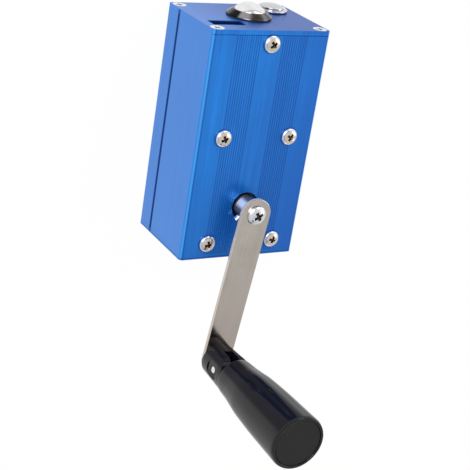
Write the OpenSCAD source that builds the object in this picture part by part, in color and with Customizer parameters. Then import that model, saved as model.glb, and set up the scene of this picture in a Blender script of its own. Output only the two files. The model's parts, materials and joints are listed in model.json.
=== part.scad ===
// Hand crank generator: a geared motor in an extruded aluminium box, turned by a folding
// handle on a flat steel arm, with two push buttons and an output slot in the top plate.
// All lengths are in millimetres. The box lies on its back, +Z leaves the crank face, +Y
// points at the top plate, and the origin is the centre of the back face.

/* [Housing] */
// Width of the box across the crank face
box_w = 55.2; // [55:0.1:60]
// Length of the box over both end plates
box_l = 100; // [98:0.5:120]
// Depth of the box from back face to crank face
box_d = 40.6; // [40.2:0.1:41]
// Wall of the extruded shell and cover
wall_t = 1.8; // [1.6:0.1:2]
// Thickness of the two end plates
end_t = 2; // [1.6:0.1:2.4]
// Rounding of the box's long edges
edge_r = 1.5; // [0.5:0.1:2]
// Height of the split between back cover and front shell
split_z = 10.6; // [10:0.1:14]
// Height of the lip that locates the cover in the shell
lap_h = 1.2; // [0.6:0.1:1.6]
// Thickness of that lip
lap_t = 0.8; // [0.5:0.05:0.9]
// Chamfer along the split
split_chamfer = 0.3; // [0.1:0.05:0.5]
// Grooves in each band on the crank face
groove_count = 11; // [5:1:11]
// Distance from one groove to the next
groove_pitch = 1.075; // [1:0.025:1.15]
// Width of one groove
groove_w = 0.5; // [0.3:0.05:0.7]
// Depth of one groove
groove_deep = 0.2; // [0.1:0.05:0.5]
// Distance of the first groove from the box's centre line
groove_start = 5.5; // [5:0.1:6.5]

/* [Screws] */
// Thread radius of the face, hub and handle screws
big_thread_r = 2; // [1.8:0.05:2.1]
// Head radius of the face screws
face_head_r = 3.65; // [3.4:0.05:4]
// Head height of the face screws
face_head_h = 2.3; // [1.8:0.1:2.6]
// Length of the face screws under the head
face_screw_l = 7; // [6.5:0.1:7]
// Distance of the face screws from the box's long sides
face_screw_side = 11.8; // [11.5:0.1:12.1]
// Distance of the two lower face screws from the box's lower end
face_screw_inset = 7.2; // [6.8:0.1:7.6]
// Distance along the box from the lower to the middle face screws
face_screw_span = 47.3; // [46.8:0.1:47.8]
// Distance of the single upper face screw from the box's upper end
board_screw_inset = 5.6; // [5.6:0.1:6.2]
// Thread radius of the plate, gearbox, motor and grub screws
small_thread_r = 1.5; // [1.3:0.05:1.6]
// Head radius of the countersunk plate screws
flat_head_r = 3; // [2.7:0.05:3.1]
// Length of the plate screws
plate_screw_l = 8; // [6:0.5:12]
// Distance of the plate screws from the box's long faces
plate_screw_inset = 3.4; // [3.3:0.05:3.6]
// Radius of the round channels that take the plate screws
channel_r = 3; // [2.6:0.05:3.1]
// Slot width of a cross recess
recess_w = 0.9; // [0.7:0.05:1.1]
// Depth of a cross recess
recess_deep = 1.1; // [0.8:0.05:1.3]

/* [Gearbox] */
// Distance of the crank shaft from the box's lower end
crank_inset = 23.5; // [23.2:0.1:23.8]
// Thickness of the two gearbox plates
gear_plate_t = 1.6; // [1.4:0.1:1.8]
// Gap between the gearbox plates and the screw channels beside them
gear_plate_side_gap = 2.4; // [1.2:0.1:2.6]
// Distance of both gearbox plates from the box's lower end
gear_plate_inset = 4; // [2.6:0.1:4.4]
// Length of the rear plate
rear_plate_l = 55; // [54.5:0.5:57]
// Free depth between the two plates
gear_space = 14.2; // [14.2:0.1:14.6]
// Radius of the four pillars between the plates
pillar_r = 3.5; // [3:0.1:3.8]
// Tooth size of the crank gear and its pinion, as a module
crank_module = 0.8; // [0.8:0.01:0.81]
// Tooth size of the second gear stage, as a module
middle_module = 0.6; // [0.59:0.01:0.61]
// Tooth size of the motor stage, as a module
motor_module = 0.5; // [0.49:0.01:0.51]
// Face width of the crank gear
crank_gear_t = 4.4; // [4:0.1:4.6]
// Face width of the second stage's wheel
middle_wheel_t = 4; // [3.6:0.1:4]
// Face width of the motor stage's wheel
motor_wheel_t = 3.4; // [3:0.1:3.4]
// Play between meshing teeth, as a share of the module
tooth_play_share = 0.16; // [0.12:0.01:0.2]
// Radius of the crank shaft
shaft_r = 3; // [2.9:0.05:3.1]
// Radius of the crank shaft's journal in the rear plate
journal_r = 2; // [1.8:0.05:2.1]
// Radius of the two idler arbors
arbor_r = 1.5; // [1.4:0.05:1.6]

/* [Motor] */
// Radius of the motor can
motor_r = 16; // [15:0.1:16.2]
// Wall of the motor can
motor_wall = 1.2; // [1:0.1:1.4]
// Thickness of the motor's closed end
motor_head_t = 1.4; // [1.2:0.1:1.6]
// Gap between the motor and the back cover
motor_foot_gap = 0.8; // [0.5:0.1:1.4]
// Radius of the boss round the motor's front bearing
motor_boss_r = 5; // [4.6:0.1:5.2]
// Radius of the motor shaft
motor_shaft_r = 1; // [0.9:0.05:1.1]
// Radius of the rotor
rotor_r = 11.3; // [10.5:0.1:11.5]
// Gap between the rotor's windings and the motor's closed end
rotor_end_gap = 1.6; // [1.2:0.1:2.6]
// Poles of the rotor
pole_count = 5; // [3:1:7]

/* [Crank] */
// Distance from the crank shaft to the handle
arm_l = 68.3; // [66:0.1:74]
// Width of the crank arm
arm_w = 14; // [13:0.1:15]
// Thickness of the crank arm
arm_t = 1.8; // [1.5:0.1:2.2]
// Lean of the arm from the box's long axis at rest, in degrees
arm_lean = 6.1; // [0:0.1:12]
// Height of the arm's underside above the crank face
arm_lift = 8.2; // [8:0.1:9]
// Radius of the hub collar
collar_r = 5.2; // [5:0.1:5.6]
// Radius of the hole in the crank face round the collar
hub_hole_r = 6.2; // [6:0.1:6.6]
// Head radius of the hub screw
hub_head_r = 4.1; // [3.9:0.05:4.4]
// Head height of the hub screw
hub_head_h = 2.6; // [2:0.1:2.8]
// Height of the grub screw above the crank face
grub_lift = 2.4; // [2.2:0.1:2.8]
// Reach of the grub screw from the shaft's axis
grub_reach = 7.1; // [6.4:0.1:7.6]
// Direction of the grub screw, in degrees
grub_turn = -131.5; // [-180:0.5:0]

/* [Handle] */
// Radius of the handle post at its foot
post_r = 7.7; // [7.6:0.1:8.2]
// Radius of the handle post at its top
post_top_r = 8.5; // [8.2:0.1:8.6]
// Height of the hinge pin above the arm
hinge_lift = 9.4; // [9.4:0.1:10]
// Distance from the hinge pin to the post's flat and to its top
hinge_reach = 7.2; // [6.8:0.1:7.3]
// Distance of the hinge pin's ends from the handle's axis
pin_reach = 7.4; // [7.1:0.1:7.5]
// Radius of the hinge pin
pin_r = 1.5; // [1.2:0.05:1.6]
// Radius of the round seats at the two ends of the hinge pin
pin_seat_r = 4.4; // [4:0.1:4.5]
// Thickness of the tongue that swings in the post's slot
tongue_t = 4.2; // [3.6:0.1:4.4]
// Radius of the handle's spindle
spindle_r = 3; // [2.8:0.05:3.1]
// Length of the grip
grip_l = 52.1; // [51.6:0.1:54]
// Largest radius of the grip
grip_r = 12; // [11.8:0.1:12]
// Radius of the cap in the grip's end
cap_r = 10.4; // [9.8:0.1:10.6]
// Thickness of that cap
cap_t = 2.2; // [1.8:0.1:2.6]

/* [Buttons and slot] */
// Distance of the large button behind the middle of the box's depth
main_drop = 0.75; // [0.5:0.05:1]
// Radius of the large button's plunger
main_r = 6.5; // [6.3:0.05:6.6]
// Radius of the large button's barrel
main_barrel_r = 8; // [7.8:0.05:8.05]
// Largest radius of the large button's cone-shaped bezel
main_bezel_r = 9.6; // [9.2:0.1:9.8]
// Height of that bezel over its seal
main_bezel_h = 2.4; // [2:0.1:2.8]
// Height of the large button's dome
main_dome_h = 3; // [2.4:0.1:3.4]
// Distance of the small button from the box's side
small_side = 11; // [10.9:0.1:11.1]
// Place of the small button above the back face
small_z = 9.4; // [9.3:0.1:9.5]
// Radius of the small button's plunger
small_r = 4.45; // [4.3:0.05:4.5]
// Radius of the small button's barrel
small_barrel_r = 5.95; // [5.8:0.05:6]
// Radius of the small button's flange
small_flange_r = 7; // [6.8:0.1:7.2]
// Thickness of that flange
small_flange_t = 0.95; // [0.8:0.05:1.2]
// Travel of both plungers
button_travel = 1.5; // [1:0.1:1.6]
// Width of the output slot
slot_w = 15.1; // [14.8:0.1:15.4]
// Height of the output slot
slot_h = 6.2; // [6:0.1:6.4]
// Distance of the slot's centre from the box's side
slot_side = 11.45; // [11.3:0.05:11.6]
// Gap between the socket behind the slot and the circuit board
socket_gap = 0.4; // [0.4:0.1:0.6]

/* [Board] */
// Gap between the circuit board and the screw channels beside it
board_side_gap = 0.7; // [0.4:0.1:2.2]
// Gap along the box between the rear plate and the circuit board
board_foot_gap = 5; // [4.9:0.1:5.5]
// Length by which the front plate laps over the board
board_lap = 8; // [7.5:0.1:9]
// Thickness of the circuit board
board_t = 1.6; // [1.2:0.1:1.6]
// Gap between the board and the gearbox front plate
board_gap = 2; // [1.8:0.1:2.2]

/* [Clearances] */
// Gap round a shaft that turns in its bearing
run_gap = 0.05; // [0.03:0.01:0.08]
// Gap round a piece that is pressed or screwed home
seat_gap = 0.02; // [0.01:0.005:0.03]
// Gap round a screw in a plain hole
bolt_gap = 0.2; // [0.1:0.05:0.25]
// Gap between pieces that slide or pass each other
pass_gap = 0.1; // [0.05:0.01:0.15]
// End play of a turning piece
end_gap = 0.2; // [0.1:0.05:0.25]

/* [Hidden] */
$fn = 48;

// Length by which a cut runs past the face it opens
over = 1;
// Free space inside the box
inner_w = box_w - 2 * wall_t;
inner_l = box_l - 2 * end_t;
inner_z = box_d - wall_t;
plate_screw_x = box_w / 2 - plate_screw_inset;
room_w = 2 * (plate_screw_x - channel_r);
// Places along the box of the crank, gearbox, board and face screws, from its lower end
crank_y = crank_inset - box_l / 2;
face_screw_x = box_w / 2 - face_screw_side;
face_screw_low_y = face_screw_inset - box_l / 2;
face_screw_high_y = face_screw_low_y + face_screw_span;
board_screw_y = box_l / 2 - board_screw_inset;
gear_plate_w = room_w - 2 * gear_plate_side_gap;
gear_plate_low_y = gear_plate_inset - box_l / 2;
rear_plate_high_y = gear_plate_low_y + rear_plate_l;
board_end_gap = 0.5;
board_w = room_w - 2 * board_side_gap;
board_low_y = rear_plate_high_y + board_foot_gap;
board_high_y = inner_l / 2 - board_end_gap;
board_l = board_high_y - board_low_y;
front_plate_high_y = board_low_y + board_lap;
// Heights of the gearbox plates, board and motor above the back face
front_plate_z = inner_z - gear_plate_t;
rear_plate_top = front_plate_z - gear_space;
rear_plate_z = rear_plate_top - gear_plate_t;
board_z = front_plate_z - board_gap - board_t;
motor_z = wall_t + motor_foot_gap;

// Teeth of the wheels and pinions, the pressure angle, and the tooth heights in modules
crank_teeth = 44;
middle_teeth = 40;
motor_teeth = 36;
pinion_teeth = 12;
pressure_angle = 20;
wheel_tip_share = 0.75;
wheel_root_share = 1.25;
pinion_tip_share = 1;
pinion_root_share = 1;
flank_steps = 4;
// Distances between the gears' axes, and the places of those axes
crank_reach = (crank_teeth + pinion_teeth) * crank_module / 2;
middle_reach = (middle_teeth + pinion_teeth) * middle_module / 2;
motor_reach = (motor_teeth + pinion_teeth) * motor_module / 2;
idler_1_y = crank_y + crank_reach;
motor_y = idler_1_y - sqrt(pow(middle_reach, 2) - pow(motor_reach, 2));
idler_2_at = [-motor_reach, motor_y];
// Flange of the crank's front bush, and the layers of the gear train from the rear plate up
bush_flange_t = 0.4;
idler_wall = 1;
motor_wheel_z = rear_plate_top + 4 * end_gap;
middle_wheel_z = motor_wheel_z + motor_wheel_t + 2 * end_gap;
crank_gear_z = front_plate_z - end_gap - bush_flange_t - crank_gear_t;
// Turn of each gear that sets its teeth into the gaps of the one before
middle_line = atan2(motor_y - idler_1_y, -motor_reach);
idler_1_turn = mesh_turn(90, 0, crank_teeth, pinion_teeth);
idler_2_turn = mesh_turn(middle_line, 0, middle_teeth, pinion_teeth);
motor_turn = mesh_turn(0, 0, motor_teeth, pinion_teeth);

// Heights on the crank axis
bush_r = 5;
bush_flange_r = 6;
bush_top = inner_z + 2 * end_gap;
collar_z = bush_top + end_gap;
arm_z = box_d + arm_lift;
arm_top = arm_z + arm_t;
shaft_past_grub = 2;
shaft_top = box_d + grub_lift + shaft_past_grub;
gear_hub_z = rear_plate_top + 4 * end_gap;
recess_span_share = 1.15;
tenon_r = 4;
tenon_flat = 3;
flat_reach = 2.2;

// Heights on the handle axis
hinge_z = arm_top + hinge_lift;
grip_z = hinge_z + hinge_reach + pass_gap;
grip_top = grip_z + grip_l;
post_top = hinge_z + hinge_reach - pass_gap;
shoulder_r = 5.3;
shoulder_t = 2.8;
shoulder_z = grip_z + end_gap;
cap_z = grip_top - end_gap - cap_t;
washer_t = 0.8;
washer_r = 5;
grip_head_h = 2.4;
cap_space = 4;
spindle_top = cap_z - cap_space - grip_head_h - washer_t;
well_r = 7.5;

// Places of the buttons and the socket, and the room behind the top plate for the buttons
main_z = box_d / 2 - main_drop;
small_x = box_w / 2 - small_side;
slot_x = slot_side - box_w / 2;
socket_h = 5.8;
slot_z = board_z - socket_gap - socket_h / 2;
button_room = inner_l / 2 - rear_plate_high_y;

// Sizes inside the buttons, lengths along them as shares of that room and of the barrels
main_barrel_share = 0.51;
small_barrel_share = 0.41;
contact_share = 0.2;
ledge_share = 0.3;
shoulder_share = 0.12;
main_rim_r = 7;
main_well_r = 7;
main_barrel_l = button_room * main_barrel_share;
main_ledge = main_barrel_l * ledge_share;
main_wire_r = 0.5;
main_coil_r = 5;
small_well_r = 5;
ring_gap = 0.4;
ring_deep = 1.8;
small_barrel_l = button_room * small_barrel_share;
small_ledge = small_barrel_l * ledge_share;
small_wire_r = 0.35;
small_coil_r = 3.4;
coil_pitch = 1.3;
seal_t = 0.4;
shoulder_h = main_barrel_l * shoulder_share;
dome_small_h = 0.6;
nut_t = 2.5;
main_nut_flats = 19;
small_nut_flats = 12.6;
contact_t = button_room * contact_share;

// Colours
blue = [0.15, 0.45, 0.8];
steel = [0.69, 0.67, 0.65];
dark_steel = [0.25, 0.27, 0.32];
brass = [0.78, 0.63, 0.3];
copper = [0.72, 0.4, 0.2];
black = [0.06, 0.06, 0.07];
green = [0.05, 0.35, 0.2];

// Angle by which an involute has run on at radius r from its base circle
function involute_angle(base_r, r) =
    let (t = sqrt(max(0, pow(r / base_r, 2) - 1)))
    t * 180 / PI - atan(t);

// Half the angle that a tooth covers at radius r
function half_tooth(teeth, size, r) =
    let (pitch_r = teeth * size / 2, base_r = pitch_r * cos(pressure_angle))
    90 / teeth - tooth_play_share / teeth * 90 / PI
        + involute_angle(base_r, pitch_r) - involute_angle(base_r, r);

// One tooth as [radius, angle] pairs, from its right foot over the tip to its left foot
function tooth(teeth, size, tip_share, root_share) =
    let (
        pitch_r = teeth * size / 2,
        base_r = pitch_r * cos(pressure_angle),
        root_r = pitch_r - root_share * size,
        tip_r = pitch_r + tip_share * size,
        start_r = max(root_r, base_r),
        foot = half_tooth(teeth, size, start_r),
        flank = [for (i = [0:flank_steps]) start_r + (tip_r - start_r) * i / flank_steps]
    )
    concat(
        root_r < start_r ? [[root_r, -foot]] : [],
        [for (r = flank) [r, -half_tooth(teeth, size, r)]],
        [for (i = [flank_steps:-1:0]) [flank[i], half_tooth(teeth, size, flank[i])]],
        root_r < start_r ? [[root_r, foot]] : []
    );

// Turn of a driven gear that meshes with its driver, which lies along line and stands at turn
function mesh_turn(line, turn, teeth, driven_teeth) =
    line + 180 - (1 / 2 - (line - turn) * teeth / 360) * 360 / driven_teeth;

// Points of a smooth curve through a list of points, the steps between two of them
function smooth(points, steps) =
    let (last = len(points) - 1)
    concat([for (i = [0:last - 1]) for (k = [0:steps - 1])
        let (
            t = k / steps,
            a = points[max(0, i - 1)],
            b = points[i],
            c = points[i + 1],
            d = points[min(last, i + 2)]
        )
        (2 * b + (c - a) * t + (2 * a - 5 * b + 4 * c - d) * t * t
            + (3 * b - a - 3 * c + d) * t * t * t) / 2],
        [points[last]]);

// Outline of a gear
module gear_outline(teeth, size, tip_share, root_share) {
    shape = tooth(teeth, size, tip_share, root_share);
    polygon([for (i = [0:teeth - 1]) for (p = shape)
        let (angle = p[1] + 360 * i / teeth)
        [p[0] * cos(angle), p[0] * sin(angle)]]);
}

// Toothed part of a wheel, thinned between rim and hub on both sides
module wheel(teeth, size, thick, hub_r) {
    root_r = (teeth / 2 - wheel_root_share) * size;
    rim_r = root_r - 2 * size;
    difference() {
        linear_extrude(thick) gear_outline(teeth, size, wheel_tip_share, wheel_root_share);
        for (z = [-over, thick * 3 / 4])
            translate([0, 0, z]) difference() {
                cylinder(r = rim_r, h = thick / 4 + over);
                translate([0, 0, -over]) cylinder(r = hub_r, h = thick + 3 * over);
            }
    }
}

// Toothed part of a pinion
module pinion(size, thick) {
    linear_extrude(thick) gear_outline(pinion_teeth, size, pinion_tip_share, pinion_root_share);
}

// Rectangle centred on x that starts at y = 0, with rounded corners
module rounded_rect(w, h, r) {
    translate([-w / 2 + r, 0]) square([w - 2 * r, h]);
    translate([-w / 2, r]) square([w, h - 2 * r]);
    for (x = [-1, 1]) for (y = [r, h - r])
        translate([x * (w / 2 - r), y]) circle(r);
}

// What is drawn with x across and y for the depth, run along the box from y = low
module along_box(low, length) {
    translate([0, low + length, 0]) rotate([90, 0, 0]) linear_extrude(length) children();
}

// A turned piece on the top plate's face, its own z pointing out of the plate
module on_top_plate(x, z) {
    translate([x, box_l / 2, z]) rotate([-90, 0, 0]) children();
}

// A piece on the handle's axis, with the hub towards its own +Y
module at_handle() {
    translate([0, crank_y, 0]) rotate([0, 0, -arm_lean]) translate([0, -arm_l, 0]) children();
}

// A pin along x through the hinge
module along_hinge(r, length) {
    translate([-length / 2, 0, hinge_z]) rotate([0, 90, 0]) cylinder(r = r, h = length);
}

// Cross recess, its mouth at z = 0
module cross_recess(span) {
    for (turn = [0, 90])
        rotate([0, 0, turn]) translate([-span / 2, -recess_w / 2, -recess_deep])
            cube([span, recess_w, recess_deep + over]);
}

// Pan-head screw that seats at z = 0 and points down
module pan_screw(r, length, head_r, head_h) {
    side_share = 0.55;
    rise = head_h * side_share;
    dome_r = (head_r * head_r + rise * rise) / (2 * rise);
    difference() {
        union() {
            translate([0, 0, -length]) cylinder(r = r, h = length + head_h / 2);
            intersection() {
                cylinder(r = head_r, h = head_h);
                translate([0, 0, head_h - dome_r]) sphere(dome_r);
            }
        }
        translate([0, 0, head_h]) cross_recess(head_r * recess_span_share);
    }
}

// Countersunk screw, its flat head's top at z = 0
module flat_screw(r, length, head_r) {
    difference() {
        union() {
            translate([0, 0, -length]) cylinder(r = r, h = length);
            translate([0, 0, r - head_r]) cylinder(r1 = r, r2 = head_r, h = head_r - r);
        }
        cross_recess(head_r * recess_span_share);
    }
}

// Hole for a countersunk screw in a plate whose face is at z = 0
module flat_screw_hole(r, head_r, deep) {
    sink = head_r - r;
    translate([0, 0, -deep - over]) cylinder(r = r + bolt_gap, h = deep + 2 * over);
    translate([0, 0, -sink]) cylinder(r1 = r + seat_gap, r2 = head_r + seat_gap, h = sink);
    translate([0, 0, -seat_gap]) cylinder(r = head_r + seat_gap, h = over);
}

// Places of the screws
gearbox_screw_places = [for (x = [-1, 1]) for (y = [face_screw_low_y, face_screw_high_y])
    [x * face_screw_x, y]];
face_screw_places = concat(gearbox_screw_places, [[0, board_screw_y]]);
plate_screw_places = [for (x = [-1, 1]) for (z = [plate_screw_inset, box_d - plate_screw_inset])
    [x * plate_screw_x, z]];
motor_screw_reach = 10;
motor_screw_places = [for (turn = [45, 225])
    [motor_screw_reach * cos(turn), motor_y + motor_screw_reach * sin(turn)]];
board_screw_r = 1.25;
spacer_r = 2.5;
stem_r = 2.8;
board_spacer_x = board_w * 2 / 5;
board_spacer_inset = board_lap / 2;
board_spacer_places = [for (x = [-1, 1])
    [x * board_spacer_x, front_plate_high_y - board_spacer_inset]];

// Outline of the box seen from its end
module box_outline() {
    rounded_rect(box_w, box_d, edge_r);
}

// Bores of the screw channels, seen from the box's end
module channel_bores() {
    for (p = plate_screw_places) translate(p) circle(small_thread_r + seat_gap);
}

// V-shaped groove along the split, seen from the box's end
module split_groove() {
    for (x = [-1, 1]) translate([x * box_w / 2, split_z]) rotate([0, 0, 45])
        square(split_chamfer * sqrt(2), center = true);
}

// Front shell, seen from its end
module front_section() {
    difference() {
        union() {
            difference() {
                box_outline();
                translate([-box_w, -box_d]) square([2 * box_w, box_d + split_z]);
                translate([-inner_w / 2, -over]) square([inner_w, inner_z + over]);
            }
            for (x = [-1, 1]) translate([x * plate_screw_x, box_d - plate_screw_inset])
                circle(channel_r);
        }
        channel_bores();
        split_groove();
        rebate = inner_w / 2 + lap_t + pass_gap;
        translate([-rebate, split_z - over]) square([2 * rebate, lap_h + pass_gap + over]);
        for (side = [-1, 1]) for (i = [0:groove_count - 1])
            translate([side * (groove_start + i * groove_pitch) - groove_w / 2,
                    box_d - groove_deep])
                square([groove_w, groove_deep + over]);
    }
}

// Back cover, seen from its end
module cover_section() {
    difference() {
        union() {
            difference() {
                box_outline();
                translate([-box_w, split_z]) square([2 * box_w, box_d]);
                translate([-inner_w / 2, wall_t]) square([inner_w, box_d]);
            }
            for (x = [-1, 1]) translate([x * plate_screw_x, plate_screw_inset])
                circle(channel_r);
            for (x = [-1, 1]) translate([x * (inner_w + lap_t) / 2, split_z - lap_h])
                translate([-lap_t / 2, 0]) square([lap_t, 2 * lap_h]);
        }
        channel_bores();
        split_groove();
    }
}

module front_shell() {
    color(blue) difference() {
        along_box(-inner_l / 2, inner_l) front_section();
        translate([0, crank_y, inner_z - over]) cylinder(r = hub_hole_r, h = wall_t + 2 * over);
        for (p = face_screw_places) translate([p[0], p[1], inner_z - over])
            cylinder(r = big_thread_r + bolt_gap, h = wall_t + 2 * over);
    }
}

module back_cover() {
    color(blue) along_box(-inner_l / 2, inner_l) cover_section();
}

module top_plate() {
    color(blue) difference() {
        along_box(inner_l / 2, end_t) difference() {
            box_outline();
            translate([slot_x, slot_z - slot_h / 2]) rounded_rect(slot_w, slot_h, end_t / 4);
            translate([0, main_z]) circle(main_barrel_r + pass_gap);
            translate([small_x, small_z]) circle(small_barrel_r + pass_gap);
        }
        for (p = plate_screw_places) on_top_plate(p[0], p[1])
            flat_screw_hole(small_thread_r, flat_head_r, end_t);
    }
}

module bottom_plate() {
    color(blue) difference() {
        along_box(-box_l / 2, end_t) box_outline();
        mirror([0, 1, 0]) for (p = plate_screw_places) on_top_plate(p[0], p[1])
            flat_screw_hole(small_thread_r, flat_head_r, end_t);
    }
}

module plate_screws() {
    color(steel) for (end = [0, 1]) mirror([0, end, 0])
        for (p = plate_screw_places) on_top_plate(p[0], p[1])
            flat_screw(small_thread_r, plate_screw_l, flat_head_r);
}

module face_screws() {
    color(steel) for (p = face_screw_places) translate([p[0], p[1], box_d])
        pan_screw(big_thread_r, face_screw_l, face_head_r, face_head_h);
}

// Flat gearbox plate from its lower to its upper end
module gear_plate(z, high_y) {
    corner_share = 0.08;
    translate([0, gear_plate_low_y, z]) linear_extrude(gear_plate_t)
        rounded_rect(gear_plate_w, high_y - gear_plate_low_y, gear_plate_w * corner_share);
}

module gearbox_front_plate() {
    z = front_plate_z - over;
    deep = gear_plate_t + 2 * over;
    color(steel) difference() {
        gear_plate(front_plate_z, front_plate_high_y);
        translate([0, crank_y, z]) cylinder(r = bush_r + seat_gap, h = deep);
        translate([0, idler_1_y, z]) cylinder(r = arbor_r + seat_gap, h = deep);
        for (p = gearbox_screw_places) translate([p[0], p[1], z])
            cylinder(r = big_thread_r + bolt_gap, h = deep);
        for (p = board_spacer_places) translate([p[0], p[1], z])
            cylinder(r = board_screw_r + seat_gap, h = deep);
    }
}

module gearbox_rear_plate() {
    z = rear_plate_z - over;
    deep = gear_plate_t + 2 * over;
    color(steel) difference() {
        gear_plate(rear_plate_z, rear_plate_high_y);
        translate([0, crank_y, z]) cylinder(r = rear_bush_r + seat_gap, h = deep);
        translate([0, motor_y, z]) cylinder(r = motor_boss_r + pass_gap, h = deep);
        for (p = [[0, idler_1_y], idler_2_at]) translate([p[0], p[1], z])
            cylinder(r = arbor_r + seat_gap, h = deep);
        for (p = gearbox_screw_places) translate([p[0], p[1], z])
            cylinder(r = small_thread_r + bolt_gap, h = deep);
        for (p = motor_screw_places) translate([p[0], p[1], rear_plate_top])
            flat_screw_hole(small_thread_r, motor_screw_head_r, gear_plate_t);
    }
}
rear_bush_r = 4;
motor_screw_head_r = 2.8;
motor_screw_l = 3;

module gearbox_pillars() {
    front_bore = face_screw_l - wall_t - gear_plate_t + end_gap;
    color(steel) for (p = gearbox_screw_places) translate([p[0], p[1], rear_plate_top])
        difference() {
            cylinder(r = pillar_r, h = gear_space);
            translate([0, 0, gear_space - front_bore])
                cylinder(r = big_thread_r + seat_gap, h = front_bore + over);
            translate([0, 0, -over])
                cylinder(r = small_thread_r + seat_gap,
                    h = rear_screw_l - gear_plate_t + end_gap + over);
        }
}
rear_screw_l = 6;
rear_screw_head_r = 2.8;
rear_screw_head_h = 1.9;

module gearbox_rear_screws() {
    color(steel) for (p = gearbox_screw_places) translate([p[0], p[1], rear_plate_z])
        rotate([180, 0, 0])
            pan_screw(small_thread_r, rear_screw_l, rear_screw_head_r, rear_screw_head_h);
}

module crank_shaft() {
    foot = rear_plate_z + end_gap;
    color(steel) translate([0, crank_y, 0]) difference() {
        union() {
            translate([0, 0, foot]) cylinder(r = journal_r, h = shaft_top - foot);
            translate([0, 0, gear_hub_z]) cylinder(r = shaft_r, h = shaft_top - gear_hub_z);
        }
        translate([flat_reach, -shaft_r, gear_hub_z - over])
            cube([shaft_r, 2 * shaft_r, crank_gear_z + crank_gear_t - gear_hub_z + over]);
    }
}

// Flanged bush, its flange from z = 0 down
module flanged_bush(r, flange_r, height, flange_t, bore_r) {
    difference() {
        union() {
            cylinder(r = r, h = height);
            translate([0, 0, -flange_t]) cylinder(r = flange_r, h = flange_t);
        }
        translate([0, 0, -flange_t - over]) cylinder(r = bore_r, h = height + flange_t + 2 * over);
    }
}

module crank_bushes() {
    color(brass) translate([0, crank_y, 0]) {
        translate([0, 0, front_plate_z])
            flanged_bush(bush_r, bush_flange_r, bush_top - front_plate_z, bush_flange_t,
                shaft_r + run_gap);
        translate([0, 0, rear_plate_top]) rotate([180, 0, 0])
            flanged_bush(rear_bush_r, bush_r, gear_plate_t, 3 * end_gap, journal_r + run_gap);
    }
}

module crank_gear() {
    hub_r = shaft_r * 3 / 2;
    color(steel) translate([0, crank_y, 0]) difference() {
        union() {
            translate([0, 0, crank_gear_z])
                wheel(crank_teeth, crank_module, crank_gear_t, hub_r + shaft_r);
            translate([0, 0, gear_hub_z])
                cylinder(r = hub_r, h = crank_gear_z + crank_gear_t - gear_hub_z);
        }
        difference() {
            translate([0, 0, gear_hub_z - over]) cylinder(r = shaft_r + seat_gap, h = box_d);
            translate([flat_reach + seat_gap, -shaft_r, 0]) cube([shaft_r, 2 * shaft_r, box_d]);
        }
    }
}

// Two idlers, each a wheel with a pinion above it on one bored hub
module idler(wheel_teeth, wheel_size, wheel_z, wheel_t, pinion_size, turn, foot, top) {
    hub_r = arbor_r + idler_wall;
    difference() {
        union() {
            translate([0, 0, foot]) cylinder(r = hub_r, h = wheel_z + over - foot);
            translate([0, 0, wheel_z]) wheel(wheel_teeth, wheel_size, wheel_t,
                (pinion_teeth / 2 + pinion_tip_share + 1 / 2) * pinion_size);
            rotate([0, 0, turn]) translate([0, 0, wheel_z + wheel_t / 2])
                pinion(pinion_size, top - wheel_z - wheel_t / 2);
        }
        translate([0, 0, foot - over]) cylinder(r = arbor_r + run_gap, h = top - foot + 2 * over);
    }
}

module idler_gear_1() {
    color(steel) translate([0, idler_1_y, 0])
        idler(middle_teeth, middle_module, middle_wheel_z, middle_wheel_t, crank_module,
            idler_1_turn, rear_plate_top + end_gap, front_plate_z - end_gap);
}

module idler_gear_2() {
    color(brass) translate(idler_2_at)
        idler(motor_teeth, motor_module, motor_wheel_z, motor_wheel_t, middle_module,
            idler_2_turn, rear_plate_top + end_gap, middle_wheel_z + middle_wheel_t);
}

module idler_arbors() {
    tops = [inner_z, crank_gear_z - 3 / 2 * end_gap];
    places = [[0, idler_1_y], idler_2_at];
    color(steel) for (i = [0, 1]) translate([places[i][0], places[i][1], rear_plate_z])
        cylinder(r = arbor_r, h = tops[i] - rear_plate_z);
}

module motor_pinion() {
    foot = rear_plate_top + 2 * end_gap;
    color(brass) translate([0, motor_y, 0]) difference() {
        rotate([0, 0, motor_turn]) translate([0, 0, foot])
            pinion(motor_module, motor_wheel_z + motor_wheel_t - foot);
        translate([0, 0, foot - over]) cylinder(r = motor_shaft_r + seat_gap, h = gear_space);
    }
}

// Heights inside the motor, its cap, commutator and winding ends as shares of its length
motor_bush_r = 2.5;
motor_cap_share = 0.128;
commutator_share = 0.106;
winding_share = 0.064;
motor_l = rear_plate_z - motor_z;
motor_cap_t = motor_l * motor_cap_share;
commutator_z = motor_z + motor_cap_t + 2 * end_gap;
commutator_t = motor_l * commutator_share;
winding_t = motor_l * winding_share;
rotor_z = commutator_z + commutator_t + 3 / 2 * winding_t;
rotor_l = rear_plate_z - motor_head_t - rotor_end_gap - winding_t - rotor_z;
magnet_gap = 0.6;
// Inner and outer end of a rotor slot and the width of its mouth, as shares of the rotor
slot_shares = [0.42, 0.86];
slot_mouth_share = 0.1;

module motor_can() {
    color(steel) translate([0, motor_y, 0]) difference() {
        union() {
            translate([0, 0, motor_z]) cylinder(r = motor_r, h = motor_l);
            translate([0, 0, rear_plate_z - over])
                cylinder(r = motor_boss_r, h = gear_plate_t + over);
        }
        translate([0, 0, motor_z - over]) cylinder(r = motor_r - motor_wall,
            h = rear_plate_z - motor_head_t - motor_z + over);
        translate([0, 0, motor_z]) cylinder(r = motor_bush_r + seat_gap, h = box_d);
        for (p = motor_screw_places) translate([p[0], p[1] - motor_y, motor_z])
            cylinder(r = small_thread_r + seat_gap, h = rear_plate_z);
    }
}

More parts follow.
